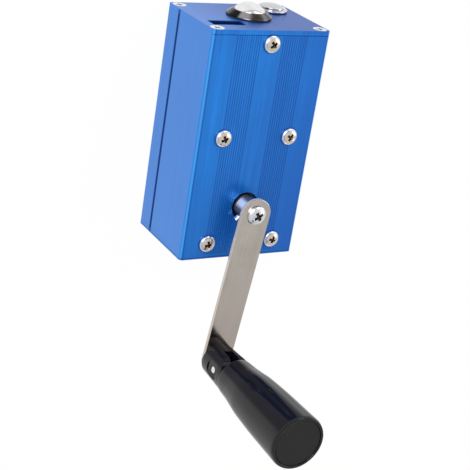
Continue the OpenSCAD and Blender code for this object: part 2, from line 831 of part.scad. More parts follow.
module motor_magnets() {
    outer_r = motor_r - motor_wall - seat_gap;
    gap_half = 30;
    color(dark_steel) translate([0, motor_y, rotor_z - winding_t])
        linear_extrude(rotor_l + 2 * winding_t)
        difference() {
            circle(outer_r);
            circle(rotor_r + magnet_gap);
            for (turn = [0, 180]) rotate([0, 0, turn])
                polygon([[0, 0], [2 * outer_r, -2 * outer_r * tan(gap_half)],
                    [2 * outer_r, 2 * outer_r * tan(gap_half)]]);
        }
}

module motor_end_cap() {
    color(black) translate([0, motor_y, motor_z]) difference() {
        union() {
            cylinder(r = motor_r - motor_wall - seat_gap, h = motor_cap_t);
            for (turn = [0, 180]) rotate([0, 0, turn])
                translate([brush_reach, -brush_w, motor_cap_t / 2])
                    cube([brush_w, 2 * brush_w, motor_cap_t / 2 + 2 * end_gap + commutator_t]);
        }
        translate([0, 0, -over]) cylinder(r = motor_bush_r + seat_gap, h = motor_cap_t + 2 * over);
    }
}
brush_reach = 7;
brush_w = 1.6;
commutator_r = 3;

module motor_bushes() {
    color(brass) translate([0, motor_y, 0]) {
        for (span = [[motor_z, motor_cap_t], [rear_plate_z - motor_head_t,
                motor_head_t + gear_plate_t]])
            translate([0, 0, span[0]]) difference() {
                cylinder(r = motor_bush_r, h = span[1]);
                translate([0, 0, -over])
                    cylinder(r = motor_shaft_r + run_gap, h = span[1] + 2 * over);
            }
    }
}

module motor_shaft() {
    foot = motor_z + end_gap;
    color(steel) translate([0, motor_y, foot])
        cylinder(r = motor_shaft_r, h = motor_wheel_z + motor_wheel_t - foot);
}

// Slots between the rotor's poles, seen along the shaft
module rotor_slots(gap) {
    for (i = [0:pole_count - 1]) rotate([0, 0, 360 * (i + 1 / 2) / pole_count]) {
        intersection() {
            difference() {
                circle(rotor_r * slot_shares[1] - gap);
                circle(rotor_r * slot_shares[0] + gap);
            }
            polygon([[rotor_r * slot_shares[0] / 2, 0], [rotor_r, -rotor_r * slot_shares[0]],
                [rotor_r, rotor_r * slot_shares[0]]]);
        }
        if (gap == 0) translate([rotor_r / 2, -rotor_r * slot_mouth_share / 2])
            square([rotor_r, rotor_r * slot_mouth_share]);
    }
}

module rotor_core() {
    color(steel) translate([0, motor_y, rotor_z]) linear_extrude(rotor_l) difference() {
        circle(rotor_r);
        circle(motor_shaft_r + seat_gap);
        rotor_slots(0);
    }
}

module rotor_windings() {
    color(copper) translate([0, motor_y, 0]) {
        translate([0, 0, rotor_z - winding_t]) linear_extrude(rotor_l + 2 * winding_t)
            rotor_slots(pass_gap);
        for (z = [rotor_z - winding_t, rotor_z + rotor_l]) translate([0, 0, z])
            difference() {
                cylinder(r = rotor_r * slot_shares[1], h = winding_t);
                translate([0, 0, -over])
                    cylinder(r = rotor_r * slot_shares[0], h = winding_t + 2 * over);
            }
    }
}

module commutator() {
    color(copper) translate([0, motor_y, commutator_z]) difference() {
        cylinder(r = commutator_r, h = commutator_t);
        translate([0, 0, -over])
            cylinder(r = motor_shaft_r + seat_gap, h = commutator_t + 2 * over);
        for (turn = [0, 120, 240]) rotate([0, 0, turn])
            translate([commutator_r * 4 / 5, -pass_gap, -over])
                cube([commutator_r, 2 * pass_gap, commutator_t + 2 * over]);
    }
}

module motor_brushes() {
    color(dark_steel) translate([0, motor_y, commutator_z]) for (turn = [0, 180])
        rotate([0, 0, turn]) translate([commutator_r + pass_gap, -brush_w / 2, 0])
            cube([brush_reach - commutator_r - pass_gap, brush_w, commutator_t]);
}

module motor_screws() {
    color(steel) for (p = motor_screw_places) translate([p[0], p[1], rear_plate_top])
        flat_screw(small_thread_r, motor_screw_l, motor_screw_head_r);
}

module circuit_board() {
    color(green) difference() {
        translate([-board_w / 2, board_low_y, board_z]) cube([board_w, board_l, board_t]);
        translate([0, board_screw_y, board_z - over])
            cylinder(r = stem_r + seat_gap, h = board_t + 2 * over);
        for (p = board_spacer_places) translate([p[0], p[1], board_z - over])
            cylinder(r = board_screw_r + bolt_gap, h = board_t + 2 * over);
    }
}

// Round spacer with a plain bore, standing on z = 0
module spacer(r, bore_r, height) {
    difference() {
        cylinder(r = r, h = height);
        translate([0, 0, -over]) cylinder(r = bore_r, h = height + 2 * over);
    }
}

// The spacer at the upper end has a stem that is pressed into the board
module board_spacers() {
    color(brass) translate([0, 0, board_z + board_t]) {
        translate([0, board_screw_y, 0]) difference() {
            union() {
                cylinder(r = pillar_r, h = inner_z - board_z - board_t);
                translate([0, 0, -board_t]) cylinder(r = stem_r, h = board_t + over);
            }
            translate([0, 0, -board_t - over]) cylinder(r = big_thread_r + seat_gap, h = box_d);
        }
        for (p = board_spacer_places) translate([p[0], p[1], 0])
            spacer(spacer_r, board_screw_r + bolt_gap, board_gap);
    }
}

// Hexagon nut standing on z = 0, with two flats across y
module hex_nut(flats, bore_r, height) {
    difference() {
        cylinder(r = flats / sqrt(3), h = height, $fn = 6);
        translate([0, 0, -over]) cylinder(r = bore_r, h = height + 2 * over);
    }
}

board_screw_head_r = 2.2;
board_screw_head_h = 1.5;

module board_screws() {
    color(steel) for (p = board_spacer_places) translate([p[0], p[1], board_z])
        rotate([180, 0, 0]) pan_screw(board_screw_r, board_t + board_gap + gear_plate_t,
            board_screw_head_r, board_screw_head_h);
}

// Output socket behind the slot: a folded metal shell, open towards the top plate
socket_w = 14.6;
socket_l_share = 0.39;
socket_l = board_l * socket_l_share;
socket_wall = 0.4;
socket_inset = 1.5;
socket_mouth_y = inner_l / 2 - socket_inset;

module output_socket() {
    foot_w = 2;
    x = slot_x - socket_w / 2;
    z = slot_z - socket_h / 2;
    color(steel) {
        difference() {
            translate([x, socket_mouth_y - socket_l, z]) cube([socket_w, socket_l, socket_h]);
            translate([x + socket_wall, socket_mouth_y - socket_l + socket_wall, z + socket_wall])
                cube([socket_w - 2 * socket_wall, socket_l, socket_h - 2 * socket_wall]);
        }
        for (y = [1, 4]) translate([x + socket_w - foot_w, socket_mouth_y - socket_l * y / 5,
                z + socket_h])
            cube([foot_w, foot_w, board_z - z - socket_h]);
    }
}

module socket_tongue() {
    tongue_w = socket_w * 4 / 5;
    tongue_h = 1.8;
    back = socket_mouth_y - socket_l + socket_wall;
    color(black) {
        translate([slot_x - tongue_w / 2, back, slot_z + socket_h / 2 - socket_wall - 2 * tongue_h])
            cube([tongue_w, socket_l - 3 * socket_wall, tongue_h]);
        translate([slot_x - tongue_w / 2, back, slot_z - socket_h / 2 + socket_wall])
            cube([tongue_w, tongue_h, socket_h - 2 * socket_wall]);
    }
}

// Sizes of the parts under the board, and their places as shares of its width and length
capacitor_r = 3.15;
capacitor_l = 10;
capacitor_shares = [0.28, 0.45];
coil_r = 4;
coil_l = 2.4;
coil_share = 0.28;
chip_shares = [0.27, 0.66];
chip_pitch_shares = [0.12, 0.107];
chip_size_shares = [0.1, 0.078];
chip_t = 1.4;

module capacitor() {
    color(dark_steel) translate([board_w * capacitor_shares[0],
            board_low_y + board_l * capacitor_shares[1], board_z - capacitor_l])
        difference() {
            cylinder(r = capacitor_r, h = capacitor_l);
            translate([0, 0, capacitor_l * 4 / 5]) spacer(capacitor_r + over,
                capacitor_r - end_gap, end_gap);
        }
}

module power_inductor() {
    color(copper) translate([0, board_low_y + board_l * coil_share, board_z - coil_l]) {
        cylinder(r = coil_r * 4 / 5, h = coil_l);
        for (z = [0, coil_l * 4 / 5]) translate([0, 0, z]) cylinder(r = coil_r, h = coil_l / 5);
    }
}

module rectifier_parts() {
    color(black) for (x = [0, 1]) for (y = [0, 1, 2])
        translate([board_w * (chip_shares[0] + x * chip_pitch_shares[0]),
                board_low_y + board_l * (chip_shares[1] + y * chip_pitch_shares[1]),
                board_z - chip_t])
            cube([board_w * chip_size_shares[0], board_l * chip_size_shares[1], chip_t]);
}

// Button plunger with a round shoulder below and a domed face, its shoulder's top at -ledge
module plunger(r, shoulder_reach, ledge, height, dome_h) {
    dome_r = (r * r + dome_h * dome_h) / (2 * dome_h);
    rotate_extrude() {
        translate([0, -ledge - pass_gap - shoulder_h]) square([shoulder_reach, shoulder_h]);
        translate([0, -ledge - pass_gap - over / 2])
            square([r, height + ledge + pass_gap + over / 2]);
        intersection() {
            translate([0, height + dome_h - dome_r]) circle(dome_r);
            translate([0, height]) square([r, dome_h]);
        }
    }
}

// Points of a coil's wire, and the wire swept along them as one closed tube
module coil_spring(coil_r, wire_r, length) {
    sides = 6;
    steps = 14;
    rings = round(length / coil_pitch) * steps;
    points = [for (i = [0:rings]) for (k = [0:sides - 1])
        let (angle = 360 * i / steps, side = 360 * k / sides, r = coil_r + wire_r * cos(side))
        [r * cos(angle), r * sin(angle),
            wire_r * sin(side) + wire_r + (length - 2 * wire_r) * i / rings]];
    walls = [for (i = [0:rings - 1]) for (k = [0:sides - 1]) for (half = [0, 1])
        let (a = i * sides + k, b = i * sides + (k + 1) % sides)
        half == 0 ? [a, b, b + sides] : [a, b + sides, a + sides]];
    ends = [for (k = [1:sides - 2]) [0, k + 1, k]];
    last = rings * sides;
    tops = [for (k = [1:sides - 2]) [last, last + k, last + k + 1]];
    polyhedron(points, concat(walls, ends, tops));
}

module main_bezel() {
    rim_share = 0.2;
    top = seal_t + main_bezel_h;
    color(dark_steel) on_top_plate(0, main_z) rotate_extrude() difference() {
        polygon([[main_r / 2, top], [main_rim_r, top],
            [main_bezel_r, seal_t + main_bezel_h * rim_share], [main_bezel_r, seal_t],
            [main_barrel_r, seal_t], [main_barrel_r, -main_barrel_l],
            [main_r / 2, -main_barrel_l]]);
        translate([0, -2 * main_barrel_l]) square([main_r + run_gap, 3 * main_barrel_l]);
        translate([0, -main_barrel_l - over])
            square([main_well_r, main_barrel_l - main_ledge + over]);
    }
}

module main_plunger() {
    color(steel) on_top_plate(0, main_z)
        plunger(main_r, main_well_r - run_gap, main_ledge, seal_t + main_bezel_h + end_gap,
            main_dome_h);
}

module main_spring() {
    foot = -main_barrel_l + button_travel + pass_gap;
    top = -main_ledge - pass_gap - shoulder_h;
    color(steel) on_top_plate(0, main_z) translate([0, 0, foot])
        coil_spring(main_coil_r, main_wire_r, top - foot - seat_gap);
}

module main_nut() {
    color(steel) on_top_plate(0, main_z) translate([0, 0, -end_t - nut_t])
        hex_nut(main_nut_flats, main_barrel_r + seat_gap, nut_t);
}

// Contact block under a barrel: a disc that closes it, a narrower body and two terminals
module contact_block(r, height) {
    blade = [height / 10, r / 2, height / 2];
    body_share = 0.85;
    translate([0, 0, -height / 3]) cylinder(r = r, h = height / 3);
    translate([0, 0, -height]) cylinder(r = r * body_share, h = height);
    for (x = [-1, 1]) translate([x * r / 2 - blade[0] / 2, -blade[1] / 2, -height - blade[2]])
        cube([blade[0], blade[1], blade[2] + over]);
}

module main_contacts() {
    color(black) on_top_plate(0, main_z) translate([0, 0, -main_barrel_l])
        contact_block(main_barrel_r, contact_t);
}

module small_bezel() {
    top = seal_t + small_flange_t;
    color(steel) on_top_plate(small_x, small_z) rotate_extrude() difference() {
        union() {
            translate([0, seal_t]) square([small_flange_r, small_flange_t]);
            translate([0, -small_barrel_l]) square([small_barrel_r, small_barrel_l + top]);
        }
        translate([0, -2 * small_barrel_l]) square([small_r + run_gap, 3 * small_barrel_l]);
        translate([0, -small_barrel_l - over])
            square([small_well_r, small_barrel_l - small_ledge + over]);
        translate([0, top - ring_deep]) square([small_r + ring_gap, ring_deep + over]);
    }
}

module small_plunger() {
    color(steel) on_top_plate(small_x, small_z)
        plunger(small_r, small_well_r - run_gap, small_ledge,
            seal_t + small_flange_t + dome_small_h, dome_small_h);
}

module small_spring() {
    foot = -small_barrel_l + button_travel + pass_gap;
    top = -small_ledge - pass_gap - shoulder_h;
    color(steel) on_top_plate(small_x, small_z) translate([0, 0, foot])
        coil_spring(small_coil_r, small_wire_r, top - foot - seat_gap);
}

module small_nut() {
    color(steel) on_top_plate(small_x, small_z) translate([0, 0, -end_t - nut_t])
        hex_nut(small_nut_flats, small_barrel_r + seat_gap, nut_t);
}

module small_contacts() {
    color(black) on_top_plate(small_x, small_z) translate([0, 0, -small_barrel_l])
        contact_block(small_barrel_r, contact_t);
}

module button_seals() {
    color(black) {
        on_top_plate(0, main_z) spacer(main_bezel_r, main_barrel_r + seat_gap, seal_t);
        on_top_plate(small_x, small_z) spacer(small_flange_r, small_barrel_r + seat_gap, seal_t);
    }
}

// Round outline with two flats, which keeps the arm from turning on the hub
module tenon_outline(gap) {
    intersection() {
        circle(tenon_r + gap);
        square([2 * (tenon_flat + gap), 4 * tenon_r], center = true);
    }
}

module hub_collar() {
    tenon_top = arm_top - end_gap;
    color(dark_steel) translate([0, crank_y, 0]) difference() {
        union() {
            translate([0, 0, collar_z]) cylinder(r = collar_r, h = arm_z - collar_z);
            rotate([0, 0, -arm_lean]) translate([0, 0, arm_z - over])
                linear_extrude(tenon_top - arm_z + over) tenon_outline(0);
        }
        translate([0, 0, collar_z - over])
            cylinder(r = shaft_r + seat_gap, h = shaft_top + end_gap - collar_z + over);
        translate([0, 0, collar_z]) cylinder(r = big_thread_r + seat_gap, h = box_d);
        translate([0, 0, box_d + grub_lift]) rotate([0, 0, grub_turn]) rotate([0, 90, 0])
            cylinder(r = small_thread_r + seat_gap, h = 2 * collar_r);
    }
}

module hub_grub_screw() {
    key_r = 0.75;
    color(steel) translate([0, crank_y, box_d + grub_lift]) rotate([0, 0, grub_turn])
        rotate([0, 90, 0]) difference() {
            translate([0, 0, shaft_r + seat_gap])
                cylinder(r = small_thread_r, h = grub_reach - shaft_r - seat_gap);
            translate([0, 0, grub_reach - 2 * key_r])
                cylinder(r = key_r, h = 3 * key_r, $fn = 6);
        }
}

module hub_screw() {
    color(steel) translate([0, crank_y, arm_top])
        pan_screw(big_thread_r, hub_screw_l, hub_head_r, hub_head_h);
}
hub_screw_l = 5;

module crank_arm() {
    color(steel) translate([0, crank_y, arm_z]) rotate([0, 0, -arm_lean]) linear_extrude(arm_t)
        difference() {
            union() {
                circle(arm_w / 2);
                translate([0, -arm_l]) circle(arm_w / 2);
                translate([-arm_w / 2, -arm_l]) square([arm_w, arm_l]);
            }
            tenon_outline(pass_gap);
            translate([0, -arm_l]) circle(big_thread_r + bolt_gap);
        }
}

// Fixed post at the end of the arm: flat towards the hub, slotted for the tongue
module handle_post() {
    slot_half = tongue_t / 2 + pass_gap;
    sweep_r = spindle_r + pass_gap;
    wide = 2 * post_top_r;
    color(black) at_handle() difference() {
        translate([0, 0, arm_top]) cylinder(r1 = post_r, r2 = post_top_r, h = post_top - arm_top);
        translate([-wide, hinge_reach, arm_z]) cube([2 * wide, wide, 2 * grip_l]);
        difference() {
            translate([-wide, 0, hinge_z]) cube([2 * wide, wide, wide]);
            along_hinge(hinge_reach, 3 * wide);
        }
        translate([-slot_half, -sweep_r, hinge_z]) cube([2 * slot_half, wide, wide]);
        translate([-slot_half, 0, hinge_z - sweep_r]) cube([2 * slot_half, wide, wide]);
        along_hinge(sweep_r, 2 * slot_half);
        along_hinge(pin_r + seat_gap, 2 * wide);
        for (side = [-1, 1]) translate([side * (pin_reach + wide / 2), 0, 0])
            along_hinge(pin_seat_r, wide);
        translate([0, 0, arm_top - over])
            cylinder(r = big_thread_r + seat_gap, h = post_screw_l - arm_t + 2 * over);
    }
}
post_screw_l = 6;

module post_screw() {
    color(steel) at_handle() translate([0, 0, arm_z]) rotate([180, 0, 0])
        pan_screw(big_thread_r, post_screw_l, face_head_r, face_head_h);
}

module hinge_pin() {
    color(steel) at_handle() along_hinge(pin_r, 2 * pin_reach);
}

// Spindle: a flattened tongue on the hinge pin, a shoulder under the grip, a threaded rod
module handle_spindle() {
    color(steel) at_handle() difference() {
        union() {
            along_hinge(spindle_r, tongue_t);
            translate([-tongue_t / 2, -spindle_r, hinge_z])
                cube([tongue_t, 2 * spindle_r, shoulder_z + shoulder_t / 2 - hinge_z]);
            translate([0, 0, shoulder_z]) cylinder(r = shoulder_r, h = shoulder_t);
            translate([0, 0, shoulder_z]) cylinder(r = spindle_r, h = spindle_top - shoulder_z);
        }
        along_hinge(pin_r + run_gap, 2 * tongue_t);
        translate([0, 0, spindle_top - grip_screw_l - over])
            cylinder(r = big_thread_r + seat_gap, h = grip_screw_l + 2 * over);
    }
}
grip_screw_l = 10;

// Heights and radii of the grip's outline, as shares of its length and of its largest radius
grip_height_shares = [0, 0.015, 0.13, 0.24, 0.34, 0.56, 0.78, 0.955, 0.985, 1];
grip_radius_shares = [0.715, 0.732, 0.775, 0.838, 0.889, 0.946, 0.976, 0.998, 0.99, 0.96];

module grip() {
    outline = [for (i = [0:len(grip_height_shares) - 1])
        [grip_r * grip_radius_shares[i], grip_l * grip_height_shares[i]]];
    ledge = spindle_top - end_gap;
    color(black) at_handle() translate([0, 0, grip_z]) rotate_extrude() difference() {
        polygon(concat([[spindle_r / 2, 0]], smooth(outline, 4), [[spindle_r / 2, grip_l]]));
        translate([0, -over]) square([spindle_r + run_gap, grip_l + 2 * over]);
        translate([0, -over])
            square([shoulder_r + pass_gap, over + shoulder_t + 2 * end_gap]);
        translate([0, ledge - grip_z]) square([well_r, grip_l]);
        translate([0, cap_z - grip_z]) square([cap_r + seat_gap, grip_l]);
    }
}

module grip_washer() {
    color(steel) at_handle() translate([0, 0, spindle_top])
        spacer(washer_r, big_thread_r + bolt_gap, washer_t);
}

module grip_screw() {
    color(steel) at_handle() translate([0, 0, spindle_top + washer_t])
        pan_screw(big_thread_r, grip_screw_l, face_head_r, grip_head_h);
}

module grip_end_cap() {
    color(black) at_handle() translate([0, 0, cap_z]) cylinder(r = cap_r, h = cap_t);
}

front_shell();
back_cover();
top_plate();
bottom_plate();
plate_screws();
face_screws();
gearbox_front_plate();
gearbox_rear_plate();
gearbox_pillars();
gearbox_rear_screws();
crank_shaft();
crank_bushes();
crank_gear();
idler_gear_1();
idler_gear_2();
idler_arbors();
motor_pinion();
motor_can();
motor_magnets();
motor_end_cap();
motor_bushes();
motor_shaft();
rotor_core();
rotor_windings();
commutator();
motor_brushes();
motor_screws();
circuit_board();
board_spacers();
board_screws();
output_socket();
socket_tongue();
capacitor();
power_inductor();
rectifier_parts();
main_bezel();
main_plunger();
main_spring();
main_nut();
main_contacts();
small_bezel();
small_plunger();
small_spring();
small_nut();
small_contacts();
button_seals();
hub_collar();
hub_grub_screw();
hub_screw();
crank_arm();
handle_post();
post_screw();
hinge_pin();
handle_spindle();
grip();
grip_washer();
grip_screw();
grip_end_cap();
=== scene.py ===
import json
import math
import bmesh
import bpy
from mathutils import Matrix, Vector


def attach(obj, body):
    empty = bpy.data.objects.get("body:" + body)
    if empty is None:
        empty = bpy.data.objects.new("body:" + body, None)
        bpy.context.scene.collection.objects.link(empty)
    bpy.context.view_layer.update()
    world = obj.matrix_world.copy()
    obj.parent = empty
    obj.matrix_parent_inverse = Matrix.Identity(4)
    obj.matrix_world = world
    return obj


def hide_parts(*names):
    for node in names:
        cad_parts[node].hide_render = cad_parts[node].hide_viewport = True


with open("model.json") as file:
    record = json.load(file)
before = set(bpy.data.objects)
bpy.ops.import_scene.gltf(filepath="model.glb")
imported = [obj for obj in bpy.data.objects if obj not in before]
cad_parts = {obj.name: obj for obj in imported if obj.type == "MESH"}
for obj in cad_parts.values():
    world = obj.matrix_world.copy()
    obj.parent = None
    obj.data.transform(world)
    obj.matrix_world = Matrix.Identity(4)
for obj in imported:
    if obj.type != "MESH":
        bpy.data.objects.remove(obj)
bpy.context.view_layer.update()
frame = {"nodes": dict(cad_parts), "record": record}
mm = 0.001
print("frame loaded:", len(frame["nodes"]), "nodes")


# Places in mm that finishes and shapes share: two numbers are x and y

centres = {
    "crank": (0.0, -26.5), "handle": (-7.2578, -94.4133),
    "mainButton": (0.0, 50.0, 19.55), "smallButton": (16.6, 50.0, 9.4),
}
handleTurn = 6.1
splitHeight = 10.6
middleScrew = (0.0, 44.4)
rightScrews = [(15.8, 4.5), (15.8, -42.8)]
plateCorner = {"x": 24.2, "end": 50.0, "low": 3.4, "high": 37.2}


# Finishes

# parts of a noise's range: the first three hold most of its values, the others only peaks
spans = {
    "hard": (0.38, 0.62), "even": (0.35, 0.65), "soft": (0.3, 0.7),
    "hairlines": (0.64, 0.7), "dust": (0.6, 0.72),
}


class Link:
    # a node's output, with the arithmetic that the finishes use
    def __init__(self, finish, socket):
        self.finish = finish
        self.socket = socket

    def __add__(self, other):
        return self.finish.math("ADD", self, other)

    def __radd__(self, other):
        return self.finish.math("ADD", other, self)

    def __sub__(self, other):
        return self.finish.math("SUBTRACT", self, other)

    def __rsub__(self, other):
        return self.finish.math("SUBTRACT", other, self)

    def __mul__(self, other):
        return self.finish.math("MULTIPLY", self, other)


class Finish:
    # a procedural material: constants go on the shader, patterns come from nodes
    def __init__(self, name, constants):
        self.material = bpy.data.materials.new(name)
        self.material.use_nodes = True
        self.tree = self.material.node_tree
        self.shader = self.tree.nodes["Principled BSDF"]
        for socketName, value in constants.items():
            self.wear(socketName, value)
        self.coords = self.node("ShaderNodeTexCoord", output="Object")
        parts = self.node("ShaderNodeSeparateXYZ", sockets={"Vector": self.coords})
        self.x, self.y, self.z = [Link(self, out) for out in parts.socket.node.outputs]

    def node(self, kind, settings=None, sockets=None, output=0):
        made = self.tree.nodes.new(kind)
        for key, value in (settings or {}).items():
            setattr(made, key, value)
        for key, value in (sockets or {}).items():
            self.feed(made.inputs[key], value)
        return Link(self, made.outputs[output])

    def feed(self, socket, value):
        if isinstance(value, Link):
            self.tree.links.new(value.socket, socket)
        else:
            socket.default_value = value

    def wear(self, socketName, value):
        self.feed(self.shader.inputs[socketName], value)

    def math(self, operation, a, b=0.0):
        return self.node("ShaderNodeMath", {"operation": operation}, {0: a, 1: b})

    def absolute(self, value):
        return self.math("ABSOLUTE", value)

    def either(self, first, second):
        # the larger of two shares
        return self.math("MAXIMUM", first, second)

    def over(self, value, limit):
        # 1 where value is above limit in mm, and 0 elsewhere
        return self.math("GREATER_THAN", value, limit * mm)

    def under(self, value, limit):
        return self.math("LESS_THAN", value, limit * mm)

    def blend(self, patterns, weights):
        # patterns added up by their weights
        return sum((pattern * weight for pattern, weight in zip(patterns, weights)), 0.0)

    def ranged(self, value, low, high, toLow=0.0, toHigh=1.0, smooth=False):
        kind = "SMOOTHSTEP" if smooth else "LINEAR"
        return self.node("ShaderNodeMapRange", {"interpolation_type": kind}, {
            "Value": value, "From Min": low, "From Max": high, "To Min": toLow, "To Max": toHigh})

    def lobe(self, value, steps):
        # 1 between the middle two of four values, with soft sides
        first, second, third, fourth = steps
        rise = self.ranged(value, first, second, smooth=True)
        return rise * self.ranged(value, fourth, third, smooth=True)

    def band(self, value, steps):
        # a lobe with its steps in mm
        return self.lobe(value, [step * mm for step in steps])

    def mixed(self, factor, first, second):
        # the colour mix node has its colours on sockets 6 and 7, and the result on output 2
        first, second = [(*c, 1.0) if isinstance(c, tuple) else c for c in (first, second)]
        return self.node("ShaderNodeMix", {"data_type": "RGBA"},
            {0: factor, 6: first, 7: second}, output=2)

    def noise(self, scale, stretch=(1.0, 1.0, 1.0), turn=0.0, detail=3.0, roughness=0.5):
        # turn is about z, in degrees, and comes before the stretch
        turned = self.node("ShaderNodeMapping", sockets={
            "Vector": self.coords, "Rotation": (0.0, 0.0, math.radians(turn))})
        scaled = self.node("ShaderNodeMapping", sockets={"Vector": turned, "Scale": stretch})
        return self.node("ShaderNodeTexNoise", sockets={
            "Vector": scaled, "Scale": scale, "Detail": detail, "Roughness": roughness})

    def radius(self, centre, axis, bothSides=False):
        # distance from a line through centre along x, y or z, and with bothSides from its
        # mirror image in x as well
        flat = [1.0, 1.0, 1.0]
        flat["xyz".index(axis)] = 0.0
        spot = self.coords
        if bothSides:
            spot = self.node("ShaderNodeCombineXYZ", sockets={
                "X": self.absolute(self.x), "Y": self.y, "Z": self.z})
        away = self.node("ShaderNodeVectorMath", {"operation": "SUBTRACT"},
            {0: spot, 1: tuple(c * mm for c in centre)})
        across = self.node("ShaderNodeVectorMath", {"operation": "MULTIPLY"},
            {0: away, 1: tuple(flat)})
        return self.node("ShaderNodeVectorMath", {"operation": "LENGTH"}, {0: across},
            output="Value")

    def across(self, look):
        # -1 to 1 round an axis along y or z: 1 on the side that looks along toward
        (u, v), centre = look["toward"], look["centre"]
        first = self.x - centre[0] * mm
        second = (self.z if look["around"] == "y" else self.y) - centre[1] * mm
        return self.math("DIVIDE", first * u + second * v,
            self.math("SQRT", first * first + second * second))

    def roughened(self, pattern, span, look):
        # the look's roughness, moved by as much as its play
        rough, play = look["roughness"], look["roughnessPlay"]
        self.wear("Roughness", self.ranged(pattern, *span, rough - play, rough + play))

    def relief(self, height, look):
        bump = self.node("ShaderNodeBump", sockets={
            "Height": height, "Strength": look["relief"], "Distance": look["reliefDepth"] * mm})
        self.wear("Normal", bump)


def falloffShadeShare(finish, mark):
    # painted shade: the crank face darker toward its far side and its foot, which catch less
    # light
    far = finish.ranged(finish.x, mark["left"] * mm, mark["right"] * mm) \
        + finish.ranged(finish.y, mark["top"] * mm, mark["foot"] * mm)
    return far * finish.over(finish.z, mark["above"]) * mark["depth"]


def grooveShadeShare(finish, mark):
    # painted shade on the floors of the fine grooves
    low = finish.band(finish.z, mark["heights"])
    return low * finish.under(finish.absolute(finish.x), mark["within"]) * mark["depth"]


def plateShadeShare(finish, mark):
    # painted shade on the faces of the end plates, deepest on their right
    ends = finish.over(finish.absolute(finish.y), mark["from"])
    return ends * finish.ranged(finish.x, mark["left"] * mm, mark["right"] * mm, mark["least"])


def edgeReflectionShare(finish, mark):
    # painted dark reflection: lines along the long edges of the crank face, beside the roundings
    away = finish.absolute(finish.absolute(finish.x) - mark["place"] * mm)
    line = finish.ranged(away, mark["reach"] * mm, 0.0, 0.0, mark["depth"], True)
    return line * finish.over(finish.z, mark["above"])


def sideShadeShare(finish, mark):
    # painted shade: the two long sides a darker, greyer blue than the crank face
    return finish.over(finish.absolute(finish.x), mark["from"]) * mark["depth"]


def roundingHighlightShare(finish, mark):
    # painted highlight on the roundings between the crank face and the long sides
    bright = finish.band(finish.absolute(finish.x), mark["widths"])
    return bright * finish.over(finish.z, mark["above"]) * mark["depth"]


def contactShadowShare(finish, mark):
    # painted shadow: dark rings on the crank face round its screws
    rings = 0.0
    for x, y in (*rightScrews, middleScrew):
        away = finish.radius((x, y, 0.0), "z", bothSides=x > 0.0)
        rings = rings + finish.band(away, mark["radii"])
    return rings * finish.over(finish.z, mark["above"]) * mark["depth"]


def seamShare(finish, mark):
    # the line between shell and cover, and the fainter one next to the bottom plate
    away = finish.absolute(finish.z - splitHeight * mm)
    seam = finish.ranged(away, mark["reach"] * mm, mark["full"] * mm, 0.0, mark["depth"], True)
    seam = seam * finish.over(finish.absolute(finish.x), mark["from"])
    seam = seam * finish.under(finish.absolute(finish.y), mark["end"])
    return finish.either(seam, finish.band(finish.y, mark["foot"]) * mark["footDepth"])


def openingShadeShare(finish, mark):
    # painted shade on the walls of the openings in the end plates
    shadedInside = finish.under(finish.absolute(finish.x), mark["within"])
    shadedInside = shadedInside * finish.band(finish.absolute(finish.y), mark["depths"])
    return shadedInside * finish.band(finish.z, mark["heights"])


# the marks on the box, in the order in which they cover each other: painted shade, painted
# reflection, painted highlight and painted shadow, with the dark joint lines
boxMarks = {
    "falloffShade": falloffShadeShare, "grooveShade": grooveShadeShare, "plate": plateShadeShare, "edge": edgeReflectionShare,
    "side": sideShadeShare, "rounding": roundingHighlightShare, "contactShadow": contactShadowShare, "seam": seamShare,
    "openingShade": openingShadeShare,
}


def anodisedFinish(name, look):
    # dyed aluminium: die lines along the box, a fine grain and a clear sealed skin, with the
    # painted shade, highlight and reflection of the box's marks
    finish = Finish(name, {"Coat Roughness": look["coatRoughness"], "Coat IOR": look["coatIor"]})
    lines = finish.noise(look["lineScale"], look["lineStretch"], detail=4.0)
    bands = finish.noise(look["bandScale"], look["lineStretch"], detail=3.0)
    grain = finish.noise(look["grainScale"], detail=2.0)
    cloud = finish.noise(look["cloudScale"], detail=3.0)
    tone = finish.ranged(finish.blend((cloud, lines, bands), look["toneMix"]), *spans["hard"])
    body = finish.mixed(tone, look["dark"], look["light"])
    shares = {key: share(finish, look[key]) for key, share in boxMarks.items()}
    for key, share in shares.items():
        body = finish.mixed(share, body, look[key]["colour"])
    finish.wear("Base Color", body)
    finish.roughened(finish.blend((lines, grain), look["roughMix"]), spans["soft"], look)
    finish.relief(finish.blend((lines, grain), look["reliefMix"]), look)
    metallic = finish.ranged(cloud, *spans["soft"], look["metallic"] - look["metallicPlay"],
        look["metallic"])
    metallic = metallic + shares["plate"] * (look["plate"]["metallic"] - look["metallic"])
    finish.wear("Metallic", finish.either(metallic, shares["seam"]))
    coat = finish.ranged(grain, *spans["soft"], look["coat"] - look["coatPlay"], look["coat"])
    finish.wear("Coat Weight", coat * (1.0 - finish.either(shares["plate"], shares["seam"])))
    return finish


def screwShares(finish, recesses):
    # two shares: painted shade inside the cross recesses, and a painted warm reflection on the
    # domes of the screws
    shadedInside, domeReflections = 0.0, 0.0
    for recess in recesses:
        rows = []
        for part, middle, mirrored, place in zip((finish.x, finish.y, finish.z),
                recess["middle"], recess["mirrored"], recess["place"]):
            row = part - middle * mm
            rows.append((finish.absolute(row) if mirrored else row) - place * mm)
        height = rows.pop("xyz".index(recess["axis"]))
        away = finish.math("SQRT", rows[0] * rows[0] + rows[1] * rows[1])
        sunk = finish.under(height, -recess["rim"])
        shadedInside = shadedInside + finish.under(away, recess["reach"]) * sunk
        domeReflections = domeReflections + finish.under(away, recess["dome"]) * finish.over(height, -recess["head"])
    return finish.math("MINIMUM", shadedInside, 1.0), finish.math("MINIMUM", domeReflections, 1.0)


metalMix = {
    "tone": (0.6, 0.4), "rough": (0.5, 0.5), "brushRoughness": 0.6,
    "hairlineCoarser": 5, "hairlineTurn": 3.0,
}


